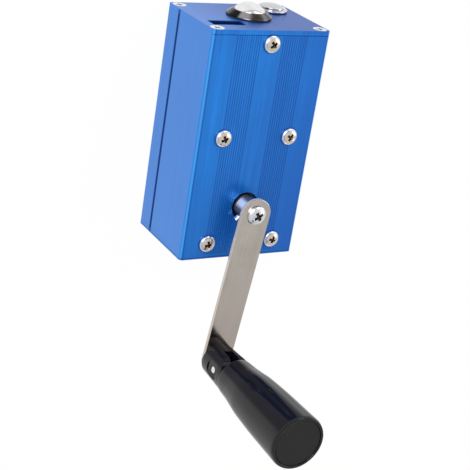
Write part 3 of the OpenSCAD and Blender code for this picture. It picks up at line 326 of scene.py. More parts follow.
def metalMarks(finish, look, body, stain):
    # marks on some metals' plain colour, each where the look names it: painted reflections in
    # strips, painted shade below a height and in screw recesses, painted warm reflections on
    # screw domes, a duller edge, and a warmer patchy tone toward one end
    # painted reflections: light and dark strips round an axis
    for lobe in look.get("reflectionStrips", []):
        share = finish.lobe(finish.across(lobe), lobe["steps"])
        share = share * finish.over(finish.z, lobe["above"])
        body = finish.mixed(share, body, lobe["colour"])
    # painted shade below the crank face: the collar's foot and what lies in its hole
    if "deep" in look:
        below = finish.under(finish.z, look["deep"]["below"])
        body = finish.mixed(below, body, look["deep"]["colour"])
    if "edge" in look:
        below = finish.under(finish.z, look["edge"]["below"])
        body = finish.mixed(below, body, look["edge"]["colour"])
        finish.wear("Metallic", 1.0 - below * look["edge"]["dullness"])
    if "warm" in look:
        warm = look["warm"]
        far = finish.ranged(finish.y, warm["from"] * mm, warm["to"] * mm)
        body = finish.mixed(far * (stain + warm["least"]), body, warm["colour"])
    if "screws" in look:
        screws = look["screws"]
        shadedInside, domeReflections = screwShares(finish, screws["recesses"])
        # painted warm reflection on the domes of the screws
        body = finish.mixed(domeReflections * (stain + screws["least"]), body, screws["domeReflectionColour"])
        # painted shade in the cross recesses
        body = finish.mixed(shadedInside, body, screws["recessShadeColour"])
    return body


def metalFinish(name, look):
    # bare or plated metal with a brushed or fine grain, faint stains and hairlines
    finish = Finish(name, {"Metallic": look.get("metallic", 1.0)})
    turn = look.get("turn", 0.0)
    brushed = finish.noise(look["brushScale"], look["brushStretch"], turn, detail=4.0,
        roughness=metalMix["brushRoughness"])
    hairline = finish.noise(look["brushScale"] / metalMix["hairlineCoarser"],
        look["brushStretch"], turn + metalMix["hairlineTurn"], detail=2.0)
    stain = finish.noise(look["stainScale"], detail=4.0)
    tone = finish.ranged(finish.blend((stain, brushed), metalMix["tone"]), *spans["even"])
    body = finish.mixed(tone, look["dark"], look["light"])
    scratch = finish.ranged(hairline, *spans["hairlines"]) * look["scratch"]
    body = finish.mixed(scratch, body, look["bright"])
    finish.wear("Base Color", metalMarks(finish, look, body, stain))
    finish.roughened(finish.blend((brushed, stain), metalMix["rough"]), spans["soft"], look)
    finish.relief(brushed, look)
    return finish


mouldMix = {"rough": (0.5, 0.5), "finer": 6, "markStretch": (1.0, 1.0, 0.3), "markTurn": 20.0}


def sheenShare(finish, sheen):
    # round an axis along z, the share of painted sheen: a bright side, a thin line on the far
    # side, and the rim at the end
    across = finish.across(sheen)
    brightSide = finish.either(finish.lobe(across, sheen["brightSide"]), finish.lobe(across, sheen["edge"]))
    rim = finish.ranged(finish.z, sheen["rimStart"] * mm, sheen["rimFull"] * mm, smooth=True)
    return finish.either(brightSide, rim)


def mouldedFinish(name, look):
    # plastic or rubber: a moulded skin with faint flow, dust and handling marks
    finish = Finish(name, {"Specular IOR Level": look["specular"]})
    grain = finish.noise(look["grainScale"], detail=3.0)
    flow = finish.noise(look["flowScale"], look["flowStretch"], detail=2.0)
    marks = finish.noise(look["flowScale"] * mouldMix["finer"], mouldMix["markStretch"],
        mouldMix["markTurn"], detail=4.0)
    dust = finish.ranged(marks, *spans["dust"]) * look["dust"]
    body = finish.mixed(finish.ranged(flow, *spans["even"]), look["dark"], look["light"])
    # painted sheen and reflection: a thicker coat where the sheen share is, and elsewhere a
    # painted navy reflection of the blue box
    if "sheen" in look:
        sheen = look["sheen"]
        share = sheenShare(finish, sheen)
        coat = finish.ranged(share, 0.0, 1.0, sheen["least"], sheen["most"])
        finish.wear("Coat Weight", coat - dust)
        finish.wear("Coat Roughness", sheen["roughness"])
        body = finish.mixed(share, sheen["navyReflection"], body)
    finish.wear("Base Color", finish.mixed(dust, body, look["dustColour"]))
    finish.roughened(finish.blend((grain, marks), mouldMix["rough"]), spans["even"], look)
    finish.relief(grain, look)
    return finish


turnedMix = {"rough": (0.5, 0.5), "relief": (0.5, 0.3), "lobeMix": (0.5, 0.75)}


def turnedFinish(name, look):
    # metal that came off a lathe: rings round an axis along y
    finish = Finish(name, {"Metallic": 1.0})
    away = finish.radius(look["centre"], "y")
    rings = finish.math("SINE", away * (math.tau / (look["ringPitch"] * mm)))
    cloud = finish.noise(look["stainScale"], detail=4.0)
    fine = finish.noise(look["grainScale"], detail=2.0)
    body = finish.mixed(finish.ranged(cloud, *spans["even"]), look["dark"], look["light"])
    fineShare, evenShare = turnedMix["lobeMix"]
    # painted reflections: light and dark strips round the axis
    for lobe in look.get("reflectionStrips", []):
        share = finish.lobe(finish.across(lobe), lobe["steps"])
        body = finish.mixed(share * (fine * fineShare + evenShare), body, lobe["colour"])
    if "plain" in look:
        near = finish.under(finish.radius(look["plain"]["centre"], "y"), look["plain"]["reach"])
        body = finish.mixed(near, body, look["plain"]["colour"])
    finish.wear("Base Color", body)
    finish.roughened(finish.blend((cloud, fine), turnedMix["rough"]), spans["even"], look)
    finish.relief(finish.blend((rings, fine), turnedMix["relief"]), look)
    return finish


blueLook = {
    "light": (0.010, 0.25, 0.84), "dark": (0.006, 0.175, 0.64), "toneMix": (0.35, 0.35, 0.3),
    "metallic": 0.62, "metallicPlay": 0.05, "roughness": 0.36, "roughnessPlay": 0.05,
    "roughMix": (0.6, 0.4),
    "coat": 0.3, "coatPlay": 0.1, "coatRoughness": 0.2, "coatIor": 1.5,
    # painted shade toward the far side and the foot of the crank face
    "falloffShade": {"left": -10.4, "right": 26.0, "top": 24.0, "foot": -118.0, "above": 40.2,
        "depth": 0.62, "colour": (0.003, 0.115, 0.52)},
    # painted shade in the grooves
    "grooveShade": {"heights": (40.3, 40.35, 40.52, 40.57), "within": 24.0, "depth": 0.6,
        "colour": (0.002, 0.09, 0.4)},
    # painted shade on the end plates, deepest on their right
    "plate": {"from": 49.97, "left": -26.0, "right": 6.0, "least": 0.35,
        "colour": (0.0, 0.095, 0.43), "metallic": 0.9},
    # painted dark reflection beside the long roundings
    "edge": {"place": 26.35, "reach": 0.6, "above": 39.9, "depth": 0.6,
        "colour": (0.001, 0.075, 0.38)},
    # painted shade on the long sides
    "side": {"from": 27.55, "depth": 0.7, "colour": (0.028, 0.2, 0.64)},
    # painted highlight on the long roundings
    "rounding": {"widths": (26.6, 26.95, 27.2, 27.55), "above": 39.65, "depth": 0.8,
        "colour": (0.06, 0.42, 1.0)},
    # painted shadow round the screws
    "contactShadow": {"radii": (3.4, 3.6, 3.85, 4.3), "above": 40.55, "depth": 0.75,
        "colour": (0.002, 0.06, 0.26)},
    "seam": {"reach": 1.1, "full": 0.8, "from": 26.0, "end": 49.75, "depth": 0.95,
        "foot": (-49.7, -49.5, -49.2, -49.0), "footDepth": 0.6, "colour": (0.0, 0.047, 0.27)},
    # painted shade in the openings of the end plates
    "openingShade": {"within": 26.4, "depths": (47.8, 47.9, 49.6, 49.8),
        "heights": (0.9, 1.0, 39.4, 39.5), "colour": (0.001, 0.035, 0.2)},
    "lineScale": 1500.0, "lineStretch": (1.0, 0.02, 1.0), "bandScale": 330.0,
    "grainScale": 5200.0, "cloudScale": 38.0,
    "relief": 0.14, "reliefDepth": 0.02, "reliefMix": (0.7, 0.3),
}
armLook = {
    "light": (0.65, 0.6, 0.55), "dark": (0.52, 0.465, 0.42), "bright": (0.78, 0.75, 0.72),
    "roughness": 0.15, "roughnessPlay": 0.04, "scratch": 0.35,
    "edge": {"below": 50.4, "dullness": 0.75, "colour": (0.62, 0.58, 0.54)},
    "warm": {"from": -42.0, "to": -88.0, "least": 0.3, "colour": (0.5, 0.44, 0.39)},
    "brushScale": 4200.0, "brushStretch": (1.0, 0.012, 1.0), "turn": handleTurn,
    "stainScale": 90.0, "relief": 0.12, "reliefDepth": 0.01,
}

# where the screws' recesses and domes are, for the painted shade in the recesses and the painted
# reflection on the domes: place is the top of a head, from middle, and a mirrored part counts on
# both sides of middle
faceRecess = {
    "middle": (0.0, 0.0, 0.0), "mirrored": (True, False, False), "axis": "z",
    "reach": 1.9, "rim": 0.42, "dome": 2.8, "head": 3.0, "top": 42.9,
}
faceRecesses = [dict(faceRecess, place=(*spot, faceRecess["top"]))
    for spot in (*rightScrews, middleScrew)]
hubRecess = dict(faceRecess, place=(*centres["crank"], 53.2), reach=2.45, rim=0.55, dome=0.0)
plateRecess = dict(faceRecess, axis="y", mirrored=(True, True, True),
    middle=(0.0, 0.0, (plateCorner["high"] + plateCorner["low"]) / 2),
    place=(plateCorner["x"], plateCorner["end"], (plateCorner["high"] - plateCorner["low"]) / 2),
    reach=1.8, rim=0.12, dome=0.0)
nickelLook = {
    "screws": {"recesses": [*faceRecesses, hubRecess, plateRecess], "least": 0.35,
        "recessShadeColour": (0.06, 0.055, 0.055), "domeReflectionColour": (0.78, 0.66, 0.54)},
    "light": (0.87, 0.9, 0.95), "dark": (0.74, 0.76, 0.8), "bright": (0.95, 0.96, 0.98),
    "roughness": 0.25, "roughnessPlay": 0.06, "scratch": 0.3,
    "brushScale": 2600.0, "brushStretch": (1.0, 1.0, 1.0), "stainScale": 420.0,
    "relief": 0.1, "reliefDepth": 0.01,
}
plainSteelLook = {
    "light": (0.6, 0.59, 0.58), "dark": (0.44, 0.43, 0.42), "bright": (0.8, 0.79, 0.78),
    "roughness": 0.32, "roughnessPlay": 0.08, "scratch": 0.3,
    "brushScale": 2400.0, "brushStretch": (1.0, 0.05, 1.0), "stainScale": 120.0,
    "relief": 0.12, "reliefDepth": 0.01,
}
gearLook = {
    "light": (0.46, 0.45, 0.45), "dark": (0.3, 0.29, 0.28), "bright": (0.75, 0.74, 0.72),
    "roughness": 0.3, "roughnessPlay": 0.1, "scratch": 0.25,
    "brushScale": 2000.0, "brushStretch": (1.0, 1.0, 0.1), "stainScale": 150.0,
    "relief": 0.12, "reliefDepth": 0.01,
}
brassLook = {
    "light": (0.78, 0.58, 0.26), "dark": (0.6, 0.41, 0.15), "bright": (0.9, 0.76, 0.48),
    "roughness": 0.28, "roughnessPlay": 0.08, "scratch": 0.3,
    "brushScale": 2200.0, "brushStretch": (1.0, 1.0, 0.2), "stainScale": 140.0,
    "relief": 0.1, "reliefDepth": 0.01,
}
copperLook = {
    "light": (0.72, 0.3, 0.13), "dark": (0.5, 0.17, 0.06), "bright": (0.88, 0.5, 0.3),
    "roughness": 0.34, "roughnessPlay": 0.08, "scratch": 0.2,
    "brushScale": 1500.0, "brushStretch": (0.15, 0.15, 1.0), "stainScale": 200.0,
    "relief": 0.4, "reliefDepth": 0.05,
}

# painted reflections: a bright strip and two dark strips round the collar; below them, painted
# shade at its foot
collarReflection = {"around": "z", "centre": centres["crank"], "toward": (-0.65, -0.76), "above": 40.7}
bluedLook = {
    "light": (0.15, 0.15, 0.19), "dark": (0.09, 0.09, 0.12), "bright": (0.3, 0.3, 0.34),
    "reflectionStrips": [
        dict(collarReflection, steps=(-0.5, -0.04, 0.22, 0.6), above=41.5, colour=(0.95, 0.97, 1.0)),
        dict(collarReflection, steps=(0.7, 0.95, 2.0, 3.0), colour=(0.015, 0.015, 0.03)),
        dict(collarReflection, steps=(0.55, 0.95, 2.0, 3.0), toward=(0.65, 0.76),
            colour=(0.015, 0.02, 0.05)),
    ],
    # painted shade at the collar's foot
    "deep": {"below": 40.6, "colour": (0.008, 0.01, 0.026)},
    "metallic": 0.36, "roughness": 0.3, "roughnessPlay": 0.06, "scratch": 0.3,
    "brushScale": 2400.0, "brushStretch": (0.1, 0.1, 1.0), "stainScale": 260.0,
    "relief": 0.1, "reliefDepth": 0.01,
}
chromeLook = {
    "light": (0.84, 0.84, 0.85), "dark": (0.74, 0.74, 0.75),
    "centre": centres["mainButton"], "ringPitch": 0.16,
    "plain": {"centre": centres["smallButton"], "reach": 7.2, "colour": (0.62, 0.61, 0.63)},
    "roughness": 0.1, "roughnessPlay": 0.03, "stainScale": 260.0, "grainScale": 3600.0,
    "relief": 0.04, "reliefDepth": 0.01,
}

# painted reflections: light and dark strips round the cone of the large bezel
coneReflection = {"around": "y", "centre": centres["mainButton"][::2], "toward": (0.85, 0.52)}
darkChromeLook = {
    "light": (0.09, 0.075, 0.072), "dark": (0.055, 0.045, 0.043),
    "reflectionStrips": [
        dict(coneReflection, steps=(-0.5, -0.36, -0.05, 0.25), colour=(0.3, 0.285, 0.3)),
        dict(coneReflection, steps=(-0.9, -0.8, -0.55, -0.45), colour=(0.008, 0.008, 0.009)),
        dict(coneReflection, steps=(0.6, 0.75, 0.8, 0.9), colour=(0.2, 0.19, 0.2)),
    ],
    "centre": centres["mainButton"], "ringPitch": 0.14,
    "roughness": 0.16, "roughnessPlay": 0.04, "stainScale": 260.0, "grainScale": 3600.0,
    "relief": 0.05, "reliefDepth": 0.01,
}
glossLook = {
    "light": (0.0035, 0.0035, 0.005), "dark": (0.002, 0.002, 0.0035),
    "dustColour": (0.015, 0.015, 0.017),
    "specular": 0.04, "roughness": 0.12, "roughnessPlay": 0.03, "dust": 0.2,
    # painted sheen on the grip, with a painted navy reflection elsewhere
    "sheen": {"around": "z", "centre": centres["handle"], "toward": (-0.65, -0.76),
        "brightSide": (0.02, 0.22, 0.55, 1.0), "edge": (-0.93, -0.86, -0.84, -0.7),
        "rimStart": 118.2, "rimFull": 118.5, "least": 0.2, "most": 0.75, "roughness": 0.04,
        "navyReflection": (0.006, 0.006, 0.011)},
    "grainScale": 1800.0, "flowScale": 60.0, "flowStretch": (1.0, 1.0, 0.25),
    "relief": 0.05, "reliefDepth": 0.02,
}
capLook = {
    "light": (0.012, 0.012, 0.0125), "dark": (0.009, 0.009, 0.0095),
    "dustColour": (0.03, 0.03, 0.03),
    "specular": 0.25, "roughness": 0.46, "roughnessPlay": 0.05, "dust": 0.25,
    "grainScale": 3000.0, "flowScale": 70.0, "flowStretch": (1.0, 1.0, 1.0),
    "relief": 0.25, "reliefDepth": 0.02,
}
plasticLook = {
    "light": (0.026, 0.026, 0.027), "dark": (0.017, 0.017, 0.018),
    "dustColour": (0.08, 0.08, 0.08),
    "specular": 0.45, "roughness": 0.42, "roughnessPlay": 0.08, "dust": 0.3,
    "grainScale": 2600.0, "flowScale": 90.0, "flowStretch": (1.0, 1.0, 1.0),
    "relief": 0.2, "reliefDepth": 0.02,
}
rubberLook = {
    "light": (0.02, 0.02, 0.02), "dark": (0.013, 0.013, 0.013), "dustColour": (0.09, 0.09, 0.09),
    "specular": 0.35, "roughness": 0.66, "roughnessPlay": 0.08, "dust": 0.4,
    "grainScale": 3400.0, "flowScale": 120.0, "flowStretch": (1.0, 1.0, 1.0),
    "relief": 0.3, "reliefDepth": 0.03,
}
boardLook = {
    "light": (0.014, 0.17, 0.075), "dark": (0.008, 0.1, 0.045), "dustColour": (0.5, 0.48, 0.3),
    "specular": 0.5, "roughness": 0.3, "roughnessPlay": 0.06, "dust": 0.2,
    "grainScale": 2400.0, "flowScale": 160.0, "flowStretch": (1.0, 0.2, 1.0),
    "relief": 0.2, "reliefDepth": 0.03,
}

finishes = {
    "blue_paint": anodisedFinish("anodisedBlue", blueLook),
    "screw_steel": metalFinish("nickelPlate", nickelLook),
    "plate_steel": metalFinish("plainSteel", plainSteelLook),
    "gear_steel": metalFinish("oiledSteel", gearLook),
    "brass": metalFinish("turnedBrass", brassLook),
    "magnet": mouldedFinish("pressedFerrite", rubberLook),
    "black_plastic": mouldedFinish("blackPlastic", plasticLook),
    "copper": metalFinish("enamelledCopper", copperLook),
    "board_green": mouldedFinish("solderMask", boardLook),
    "socket_shell": metalFinish("tinnedShell", plainSteelLook),
    "capacitor_sleeve": mouldedFinish("shrinkSleeve", capLook),
    "dark_chrome": turnedFinish("darkChrome", darkChromeLook),
    "polished_steel": turnedFinish("polishedSteel", chromeLook),
    "spring_steel": metalFinish("drawnWire", plainSteelLook),
    "seal_rubber": mouldedFinish("sealRubber", rubberLook),
    "blued_steel": metalFinish("bluedSteel", bluedLook),
    "arm_steel": metalFinish("brushedArm", armLook),
    "black_handle": mouldedFinish("glossBlack", glossLook),
    "matt_black_plastic": mouldedFinish("mattBlack", capLook),
}
print("finishes made:", len(finishes))


# Shaping: profiles and sizes are in mm, angles in degrees

angles = {"smoothCad": 20.0, "smoothTurned": 30.0, "flat": 0.3, "fold": 30.0}
mergeMetres = {"turned": 1e-7, "cad": 2e-6}
roundSegments = {"turned": 4, "seal": 2, "cad": 2}


def at(x, y, z):
    return Matrix.Translation((x * mm, y * mm, z * mm))


def turn(degrees, axis):
    return Matrix.Rotation(math.radians(degrees), 4, axis)


def placed(bm, place):
    bmesh.ops.transform(bm, matrix=place, verts=bm.verts[:])
    return bm


def joined(shapes):
    # several shapes as one mesh
    whole = bmesh.new()
    for bm in shapes:
        carrier = bpy.data.meshes.new("carrier")
        bm.to_mesh(carrier)
        bm.free()
        whole.from_mesh(carrier)
        bpy.data.meshes.remove(carrier)
    return whole


def turnedShape(profile, steps, closed=False, segments=roundSegments["turned"]):
    # profile rows are radius, height and, where a corner is round, its rounding
    bm = bmesh.new()
    corners = [bm.verts.new((row[0] * mm, 0.0, row[1] * mm)) for row in profile]
    pairs = list(zip(corners, corners[1:]))
    if closed:
        pairs.append((corners[-1], corners[0]))
    for pair in pairs:
        bm.edges.new(pair)
    for corner, row in zip(corners, profile):
        if len(row) > 2:
            bmesh.ops.bevel(bm, geom=[corner], offset=row[2] * mm, offset_type="OFFSET",
                segments=segments, profile=0.5, affect="VERTICES", material=-1)
    bmesh.ops.spin(bm, geom=bm.verts[:] + bm.edges[:], cent=(0.0, 0.0, 0.0), axis=(0.0, 0.0, 1.0),
        angle=math.tau, steps=steps, use_merge=True)
    bmesh.ops.remove_doubles(bm, verts=bm.verts[:], dist=mergeMetres["turned"])
    bmesh.ops.recalc_face_normals(bm, faces=bm.faces[:])
    return bm


def solidOf(node):
    # a CAD solid, copied to be worked on
    bm = bmesh.new()
    bm.from_mesh(frame["nodes"][node].data)
    return bm


def eased(bm, ease):
    # a CAD solid with its flat faces joined and its outer edges eased
    bmesh.ops.remove_doubles(bm, verts=bm.verts[:], dist=mergeMetres["cad"])
    bmesh.ops.recalc_face_normals(bm, faces=bm.faces[:])
    bmesh.ops.dissolve_limit(bm, angle_limit=math.radians(angles["flat"]),
        use_dissolve_boundaries=False, verts=bm.verts[:], edges=bm.edges[:], delimit=set())
    fold = math.radians(angles["fold"])
    sharp = [e for e in bm.edges
        if len(e.link_faces) == 2 and e.is_convex and e.calc_face_angle() > fold]
    bmesh.ops.bevel(bm, geom=sharp, offset=ease * mm, offset_type="OFFSET",
        segments=roundSegments["cad"], profile=0.5, affect="EDGES", clamp_overlap=True,
        material=-1)
    return bm


def addPiece(name, bm, body, slotName, node, smooth="smoothTurned"):
    bmesh.ops.recalc_face_normals(bm, faces=bm.faces[:])
    mesh = bpy.data.meshes.new(name)
    bm.to_mesh(mesh)
    bm.free()
    mesh.shade_smooth()
    mesh.set_sharp_from_angle(angle=math.radians(angles[smooth]))
    mesh.materials.append(finishes[slotName].material)
    piece = bpy.data.objects.new(name, mesh)
    bpy.context.scene.collection.objects.link(piece)
    weighted = piece.modifiers.new("weightedNormal", "WEIGHTED_NORMAL")
    weighted.keep_sharp = True
    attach(piece, body)
    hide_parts(node)


def addEased(name, node, ease, body, slotName):
    addPiece(name, eased(solidOf(node), ease), body, slotName, node, "smoothCad")


# Box

boxEase = {"shell": 0.12, "plate": 0.3}
shellShift = {
    "end": 48.0, "gap": 0.2, "within": 27.45, "grooveFloor": 40.4, "grooveShown": 40.5,
}
split = {"chamfer": 0.3, "side": 27.6, "spread": 0.2, "deeper": 0.35, "gap": 0.06}

# within this many mm a point counts as on a plane
closeTo = 0.01


def shiftedShell(bm):
    # a hairline gap under the top plate, and shallower grooves
    for v in bm.verts:
        x, y, z = v.co / mm
        if abs(y - shellShift["end"]) < closeTo and abs(x) < shellShift["within"]:
            v.co.y -= shellShift["gap"] * mm
        if abs(z - shellShift["grooveFloor"]) < closeTo:
            v.co.z = shellShift["grooveShown"] * mm
    return bm


def parted(bm, way):
    # along the split line, a wider bevel and a thin gap behind it: way is 1 on the shell,
    # which lies above the line, and -1 on the cover
    for v in bm.verts:
        rise = (v.co.z / mm - splitHeight) * way
        inset = split["side"] - abs(v.co.x) / mm
        if abs(inset) < closeTo and abs(rise - split["chamfer"]) < closeTo:
            v.co.z += way * split["spread"] * mm
        if abs(inset - split["chamfer"]) < closeTo and abs(rise) < closeTo:
            v.co.z += way * split["gap"] * mm
            v.co.x -= math.copysign(split["deeper"] * mm, v.co.x)
    return bm


shellShape = parted(shiftedShell(solidOf("front_shell")), 1.0)
coverShape = parted(solidOf("back_cover"), -1.0)
addPiece("frontShell", eased(shellShape, boxEase["shell"]), "box", "blue_paint", "front_shell",
    "smoothCad")
addPiece("backCover", eased(coverShape, boxEase["shell"]), "box", "blue_paint", "back_cover",
    "smoothCad")
addEased("topPlate", "top_plate", boxEase["plate"], "box", "blue_paint")
addEased("bottomPlate", "bottom_plate", boxEase["plate"], "box", "blue_paint")
print("box made")


# Screws: they point down from the height where their heads rest

panHead = {
    "domeRings": (0.0, 0.2, 0.38, 0.54, 0.68, 0.78), "step": (0.82, 0.87), "rim": 0.9,
    "rimRise": 0.18, "rimDrop": 0.12, "rimRounding": 0.25, "footRounding": 0.12,
}
sunkHead = {"lip": 0.02, "rounding": 0.08}
screwMaking = {"steps": 48, "tip": 0.4, "upward": 0.3}
bigCross = {"width": 1.15, "span": 3.5, "depth": 1.0, "taper": 0.55}
smallCross = {"width": 0.95, "span": 3.6, "depth": 0.8, "taper": 0.55}
faceScrew = {
    "headRadius": 3.65, "headHeight": 2.3, "domeRise": 1.265, "stepDepth": 0.4,
    "threadRadius": 2.0, "length": 7.0, "recess": bigCross, "seat": 40.6,
    "turns": (22.0, 61.0, 10.0, 75.0, 38.0),
}
plateScrew = {
    "headRadius": 3.0, "headHeight": 0.0, "domeRise": 0.0,
    "threadRadius": 1.5, "length": 8.0, "recess": smallCross, "turn": 27.0,
}


def panProfile(screw):
    # a dome, a step down inside the rim, the rim and the side of a pan head
    radius, height, rise = screw["headRadius"], screw["headHeight"], screw["domeRise"]
    side = height - rise
    ball = (radius * radius + rise * rise) / (2 * rise)
    dome = [(radius * share, height - ball + math.sqrt(ball * ball - (radius * share) ** 2))
        for share in panHead["domeRings"]]
    floor = dome[-1][1] - screw["stepDepth"]
    step = [(radius * share, floor) for share in panHead["step"]]
    return dome + step + [(radius * panHead["rim"], side + panHead["rimRise"]),
        (radius, side - panHead["rimDrop"], panHead["rimRounding"]),
        (radius, 0.0, panHead["footRounding"]), (screw["threadRadius"], 0.0)]


def sunkProfile(screw):
    # the flat top and the cone of a countersunk head
    radius, thread = screw["headRadius"], screw["threadRadius"]
    return [(0.0, 0.0), (radius / 2, 0.0), (radius - sunkHead["lip"], 0.0, sunkHead["rounding"]),
        (thread, thread - radius)]


def cutCross(bm, recess, top):
    # a tapered cross recess in the faces that look up
    half, reach = recess["width"] / 2 * mm, recess["span"] / 2 * mm
    for axis in (Vector((1.0, 0.0, 0.0)), Vector((0.0, 1.0, 0.0))):
        for offset in (half, -half, reach, -reach):
            upper = [f for f in bm.faces if f.normal.z > screwMaking["upward"]]
            verts = dict.fromkeys(v for f in upper for v in f.verts)
            edges = dict.fromkeys(e for f in upper for e in f.edges)
            bmesh.ops.bisect_plane(bm, geom=[*verts, *edges, *upper],
                dist=mergeMetres["turned"], plane_co=axis * offset, plane_no=axis)
    wings = []
    for face in bm.faces:
        spot = face.calc_center_median()
        x, y = abs(spot.x), abs(spot.y)
        if face.normal.z > screwMaking["upward"] and min(x, y) < half and max(x, y) < reach:
            wings.append(face)
    grown = bmesh.ops.extrude_face_region(bm, geom=wings)
    floor = [v for v in grown["geom"] if isinstance(v, bmesh.types.BMVert)]
    bmesh.ops.delete(bm, geom=wings, context="FACES_ONLY")
    bmesh.ops.scale(bm, vec=(recess["taper"], recess["taper"], 0.0), verts=floor)
    bmesh.ops.translate(bm, vec=(0.0, 0.0, (top - recess["depth"]) * mm), verts=floor)


def addScrews(name, screw, places, body, node):
    # a screw with a cross recess, repeated at its places as one piece
    head = panProfile(screw) if screw["domeRise"] else sunkProfile(screw)
    thread, length, tip = screw["threadRadius"], screw["length"], screwMaking["tip"]
    foot = [(thread, tip - length), (thread - tip, -length), (0.0, -length)]
    bm = turnedShape(head + foot, screwMaking["steps"])
    cutCross(bm, screw["recess"], screw["headHeight"])
    screws = joined([placed(bm.copy(), place) for place in places])
    bm.free()
    addPiece(name, screws, body, "screw_steel", node)


faceSpots = [(side * x, y) for x, y in rightScrews for side in (-1, 1)] + [middleScrew]
facePlaces = [at(*spot, faceScrew["seat"]) @ turn(degrees, "Z")
    for spot, degrees in zip(faceSpots, faceScrew["turns"])]
platePlaces = []
for end in (1, -1):
    corners = [(side * plateCorner["x"], plateCorner[key])
        for side in (-1, 1) for key in ("low", "high")]
    for i, (x, z) in enumerate(corners):
        platePlaces.append(at(x, plateCorner["end"] * end, z) @ turn(-90.0 * end, "X")
            @ turn(plateScrew["turn"] * i, "Z"))
addScrews("faceScrews", faceScrew, facePlaces, "box", "face_screws")
addScrews("plateScrews", plateScrew, platePlaces, "box", "plate_screws")
print("screws made")


# Buttons and slot: profile heights count from the top plate's face

mainButton = {
    "axis": at(*centres["mainButton"]) @ turn(-90.0, "X"),
    "bezel": [(6.55, 2.8, 0.15), (7.0, 2.8, 0.12), (9.6, 0.88, 0.2), (9.6, 0.4, 0.1),
        (8.0, 0.4), (8.0, -19.89, 0.2), (7.0, -19.89, 0.1), (7.0, -5.97), (6.55, -5.97)],
    "plunger": [(0.0, 6.0), (1.3, 5.88), (2.6, 5.52), (3.9, 4.92), (5.2, 4.08), (6.0, 3.42),
        (6.5, 2.8, 0.3), (6.5, -6.07), (6.95, -6.07), (6.95, -8.45), (0.0, -8.45)],
    "seal": [(8.02, 0.0), (9.6, 0.0, 0.1), (9.6, 0.4, 0.1), (8.02, 0.4)],
}
smallButton = {
    "axis": at(*centres["smallButton"]) @ turn(-90.0, "X"),
    "bezel": [(5.35, 1.3, 0.15), (7.0, 1.1, 0.25), (7.0, 0.4, 0.1), (5.95, 0.4),
        (5.95, -15.99, 0.2), (5.0, -15.99, 0.1), (5.0, -4.8), (4.5, -4.8), (4.5, -1.1),
        (5.35, -1.1)],
    "plunger": [(0.0, 3.15), (1.3, 3.1), (2.6, 2.93), (3.9, 2.6), (5.2, 2.05, 0.2), (5.2, 0.75),
        (4.45, 0.75), (4.45, -4.9), (4.95, -4.9), (4.95, -7.28), (0.0, -7.28)],
    "seal": [(5.97, 0.0), (7.0, 0.0, 0.1), (7.0, 0.4, 0.1), (5.97, 0.4)],
}
buttonSteps = {"metal": 96, "seal": 72}
socketEase = {"shell": 0.08, "tongue": 0.15}


def addTurned(name, profile, axis, body, slotName, node, steps, closed=False):
    shape = turnedShape(profile, steps, closed)
    addPiece(name, placed(shape, axis), body, slotName, node)


addTurned("mainBezel", mainButton["bezel"], mainButton["axis"], "box", "dark_chrome",
    "main_bezel", buttonSteps["metal"], True)
addTurned("mainDome", mainButton["plunger"], mainButton["axis"], "main_button",
    "polished_steel", "main_plunger", buttonSteps["metal"])
addTurned("smallBezel", smallButton["bezel"], smallButton["axis"], "box", "polished_steel",
    "small_bezel", buttonSteps["metal"], True)
addTurned("smallDisc", smallButton["plunger"], smallButton["axis"], "small_button",
    "polished_steel", "small_plunger", buttonSteps["metal"])
sealRings = joined([placed(turnedShape(button["seal"], buttonSteps["seal"], True,
    roundSegments["seal"]), button["axis"]) for button in (mainButton, smallButton)])
addPiece("buttonSeals", sealRings, "box", "seal_rubber", "button_seals")
addEased("outputSocket", "output_socket", socketEase["shell"], "box", "socket_shell")
addEased("socketTongue", "socket_tongue", socketEase["tongue"], "box", "black_plastic")
print("buttons and slot made")


# Crank

crankEase = {"arm": 0.22, "collar": 0.3, "grub": 0.12}
hubScrew = {
    "headRadius": 4.1, "headHeight": 2.6, "domeRise": 1.43, "stepDepth": 0.3,
    "threadRadius": 2.0, "length": 5.0, "recess": dict(bigCross, span=4.6, width=1.45),
    "seat": 50.6, "turn": 31.0,
}
addEased("crankArm", "crank_arm", crankEase["arm"], "crank", "arm_steel")
addEased("hubCollar", "hub_collar", crankEase["collar"], "crank", "blued_steel")
addEased("grubScrew", "hub_grub_screw", crankEase["grub"], "crank", "screw_steel")
hubPlace = at(*centres["crank"], hubScrew["seat"]) @ turn(hubScrew["turn"], "Z")
addScrews("hubScrew", hubScrew, [hubPlace], "crank", "hub_screw")
print("crank made")


# Handle: its axis is along z, and heights count from the back of the box

handleAxis = at(*centres["handle"], 0.0) @ turn(-handleTurn, "Z")
handleEase = {"post": 0.25, "spindle": 0.15}
postScrew = dict(faceScrew, length=6.0, seat=48.8)
hingePin = {
    "height": 60.0, "steps": 32,
    "profile": [(0.0, 7.4), (1.1, 7.4), (1.5, 7.25, 0.12), (1.5, -7.25, 0.12), (1.1, -7.4),
        (0.0, -7.4)],
}
gripShape = {
    "foot": 67.3, "length": 52.1, "radius": 12.0, "curveSteps": 5,
    "heights": (0.0, 0.015, 0.13, 0.24, 0.34, 0.56, 0.78, 0.955, 0.985, 1.0),
    "radii": (0.715, 0.732, 0.775, 0.838, 0.889, 0.946, 0.976, 0.998, 0.99, 0.96),
    "bore": 3.05, "socketRadius": 5.4, "socketTop": 70.5, "wellFoot": 109.8, "wellRadius": 7.5,
    "capFoot": 117.0, "capRadius": 10.42, "outerRounding": 0.38, "innerRounding": 0.35,
    "steps": 128,
}
endCap = {
    "foot": 117.0, "top": 119.2, "radius": 10.4, "rounding": 0.55,
    "dish": 0.12, "dishRadius": 8.0, "dishEnd": 9.6, "steps": 96,
}


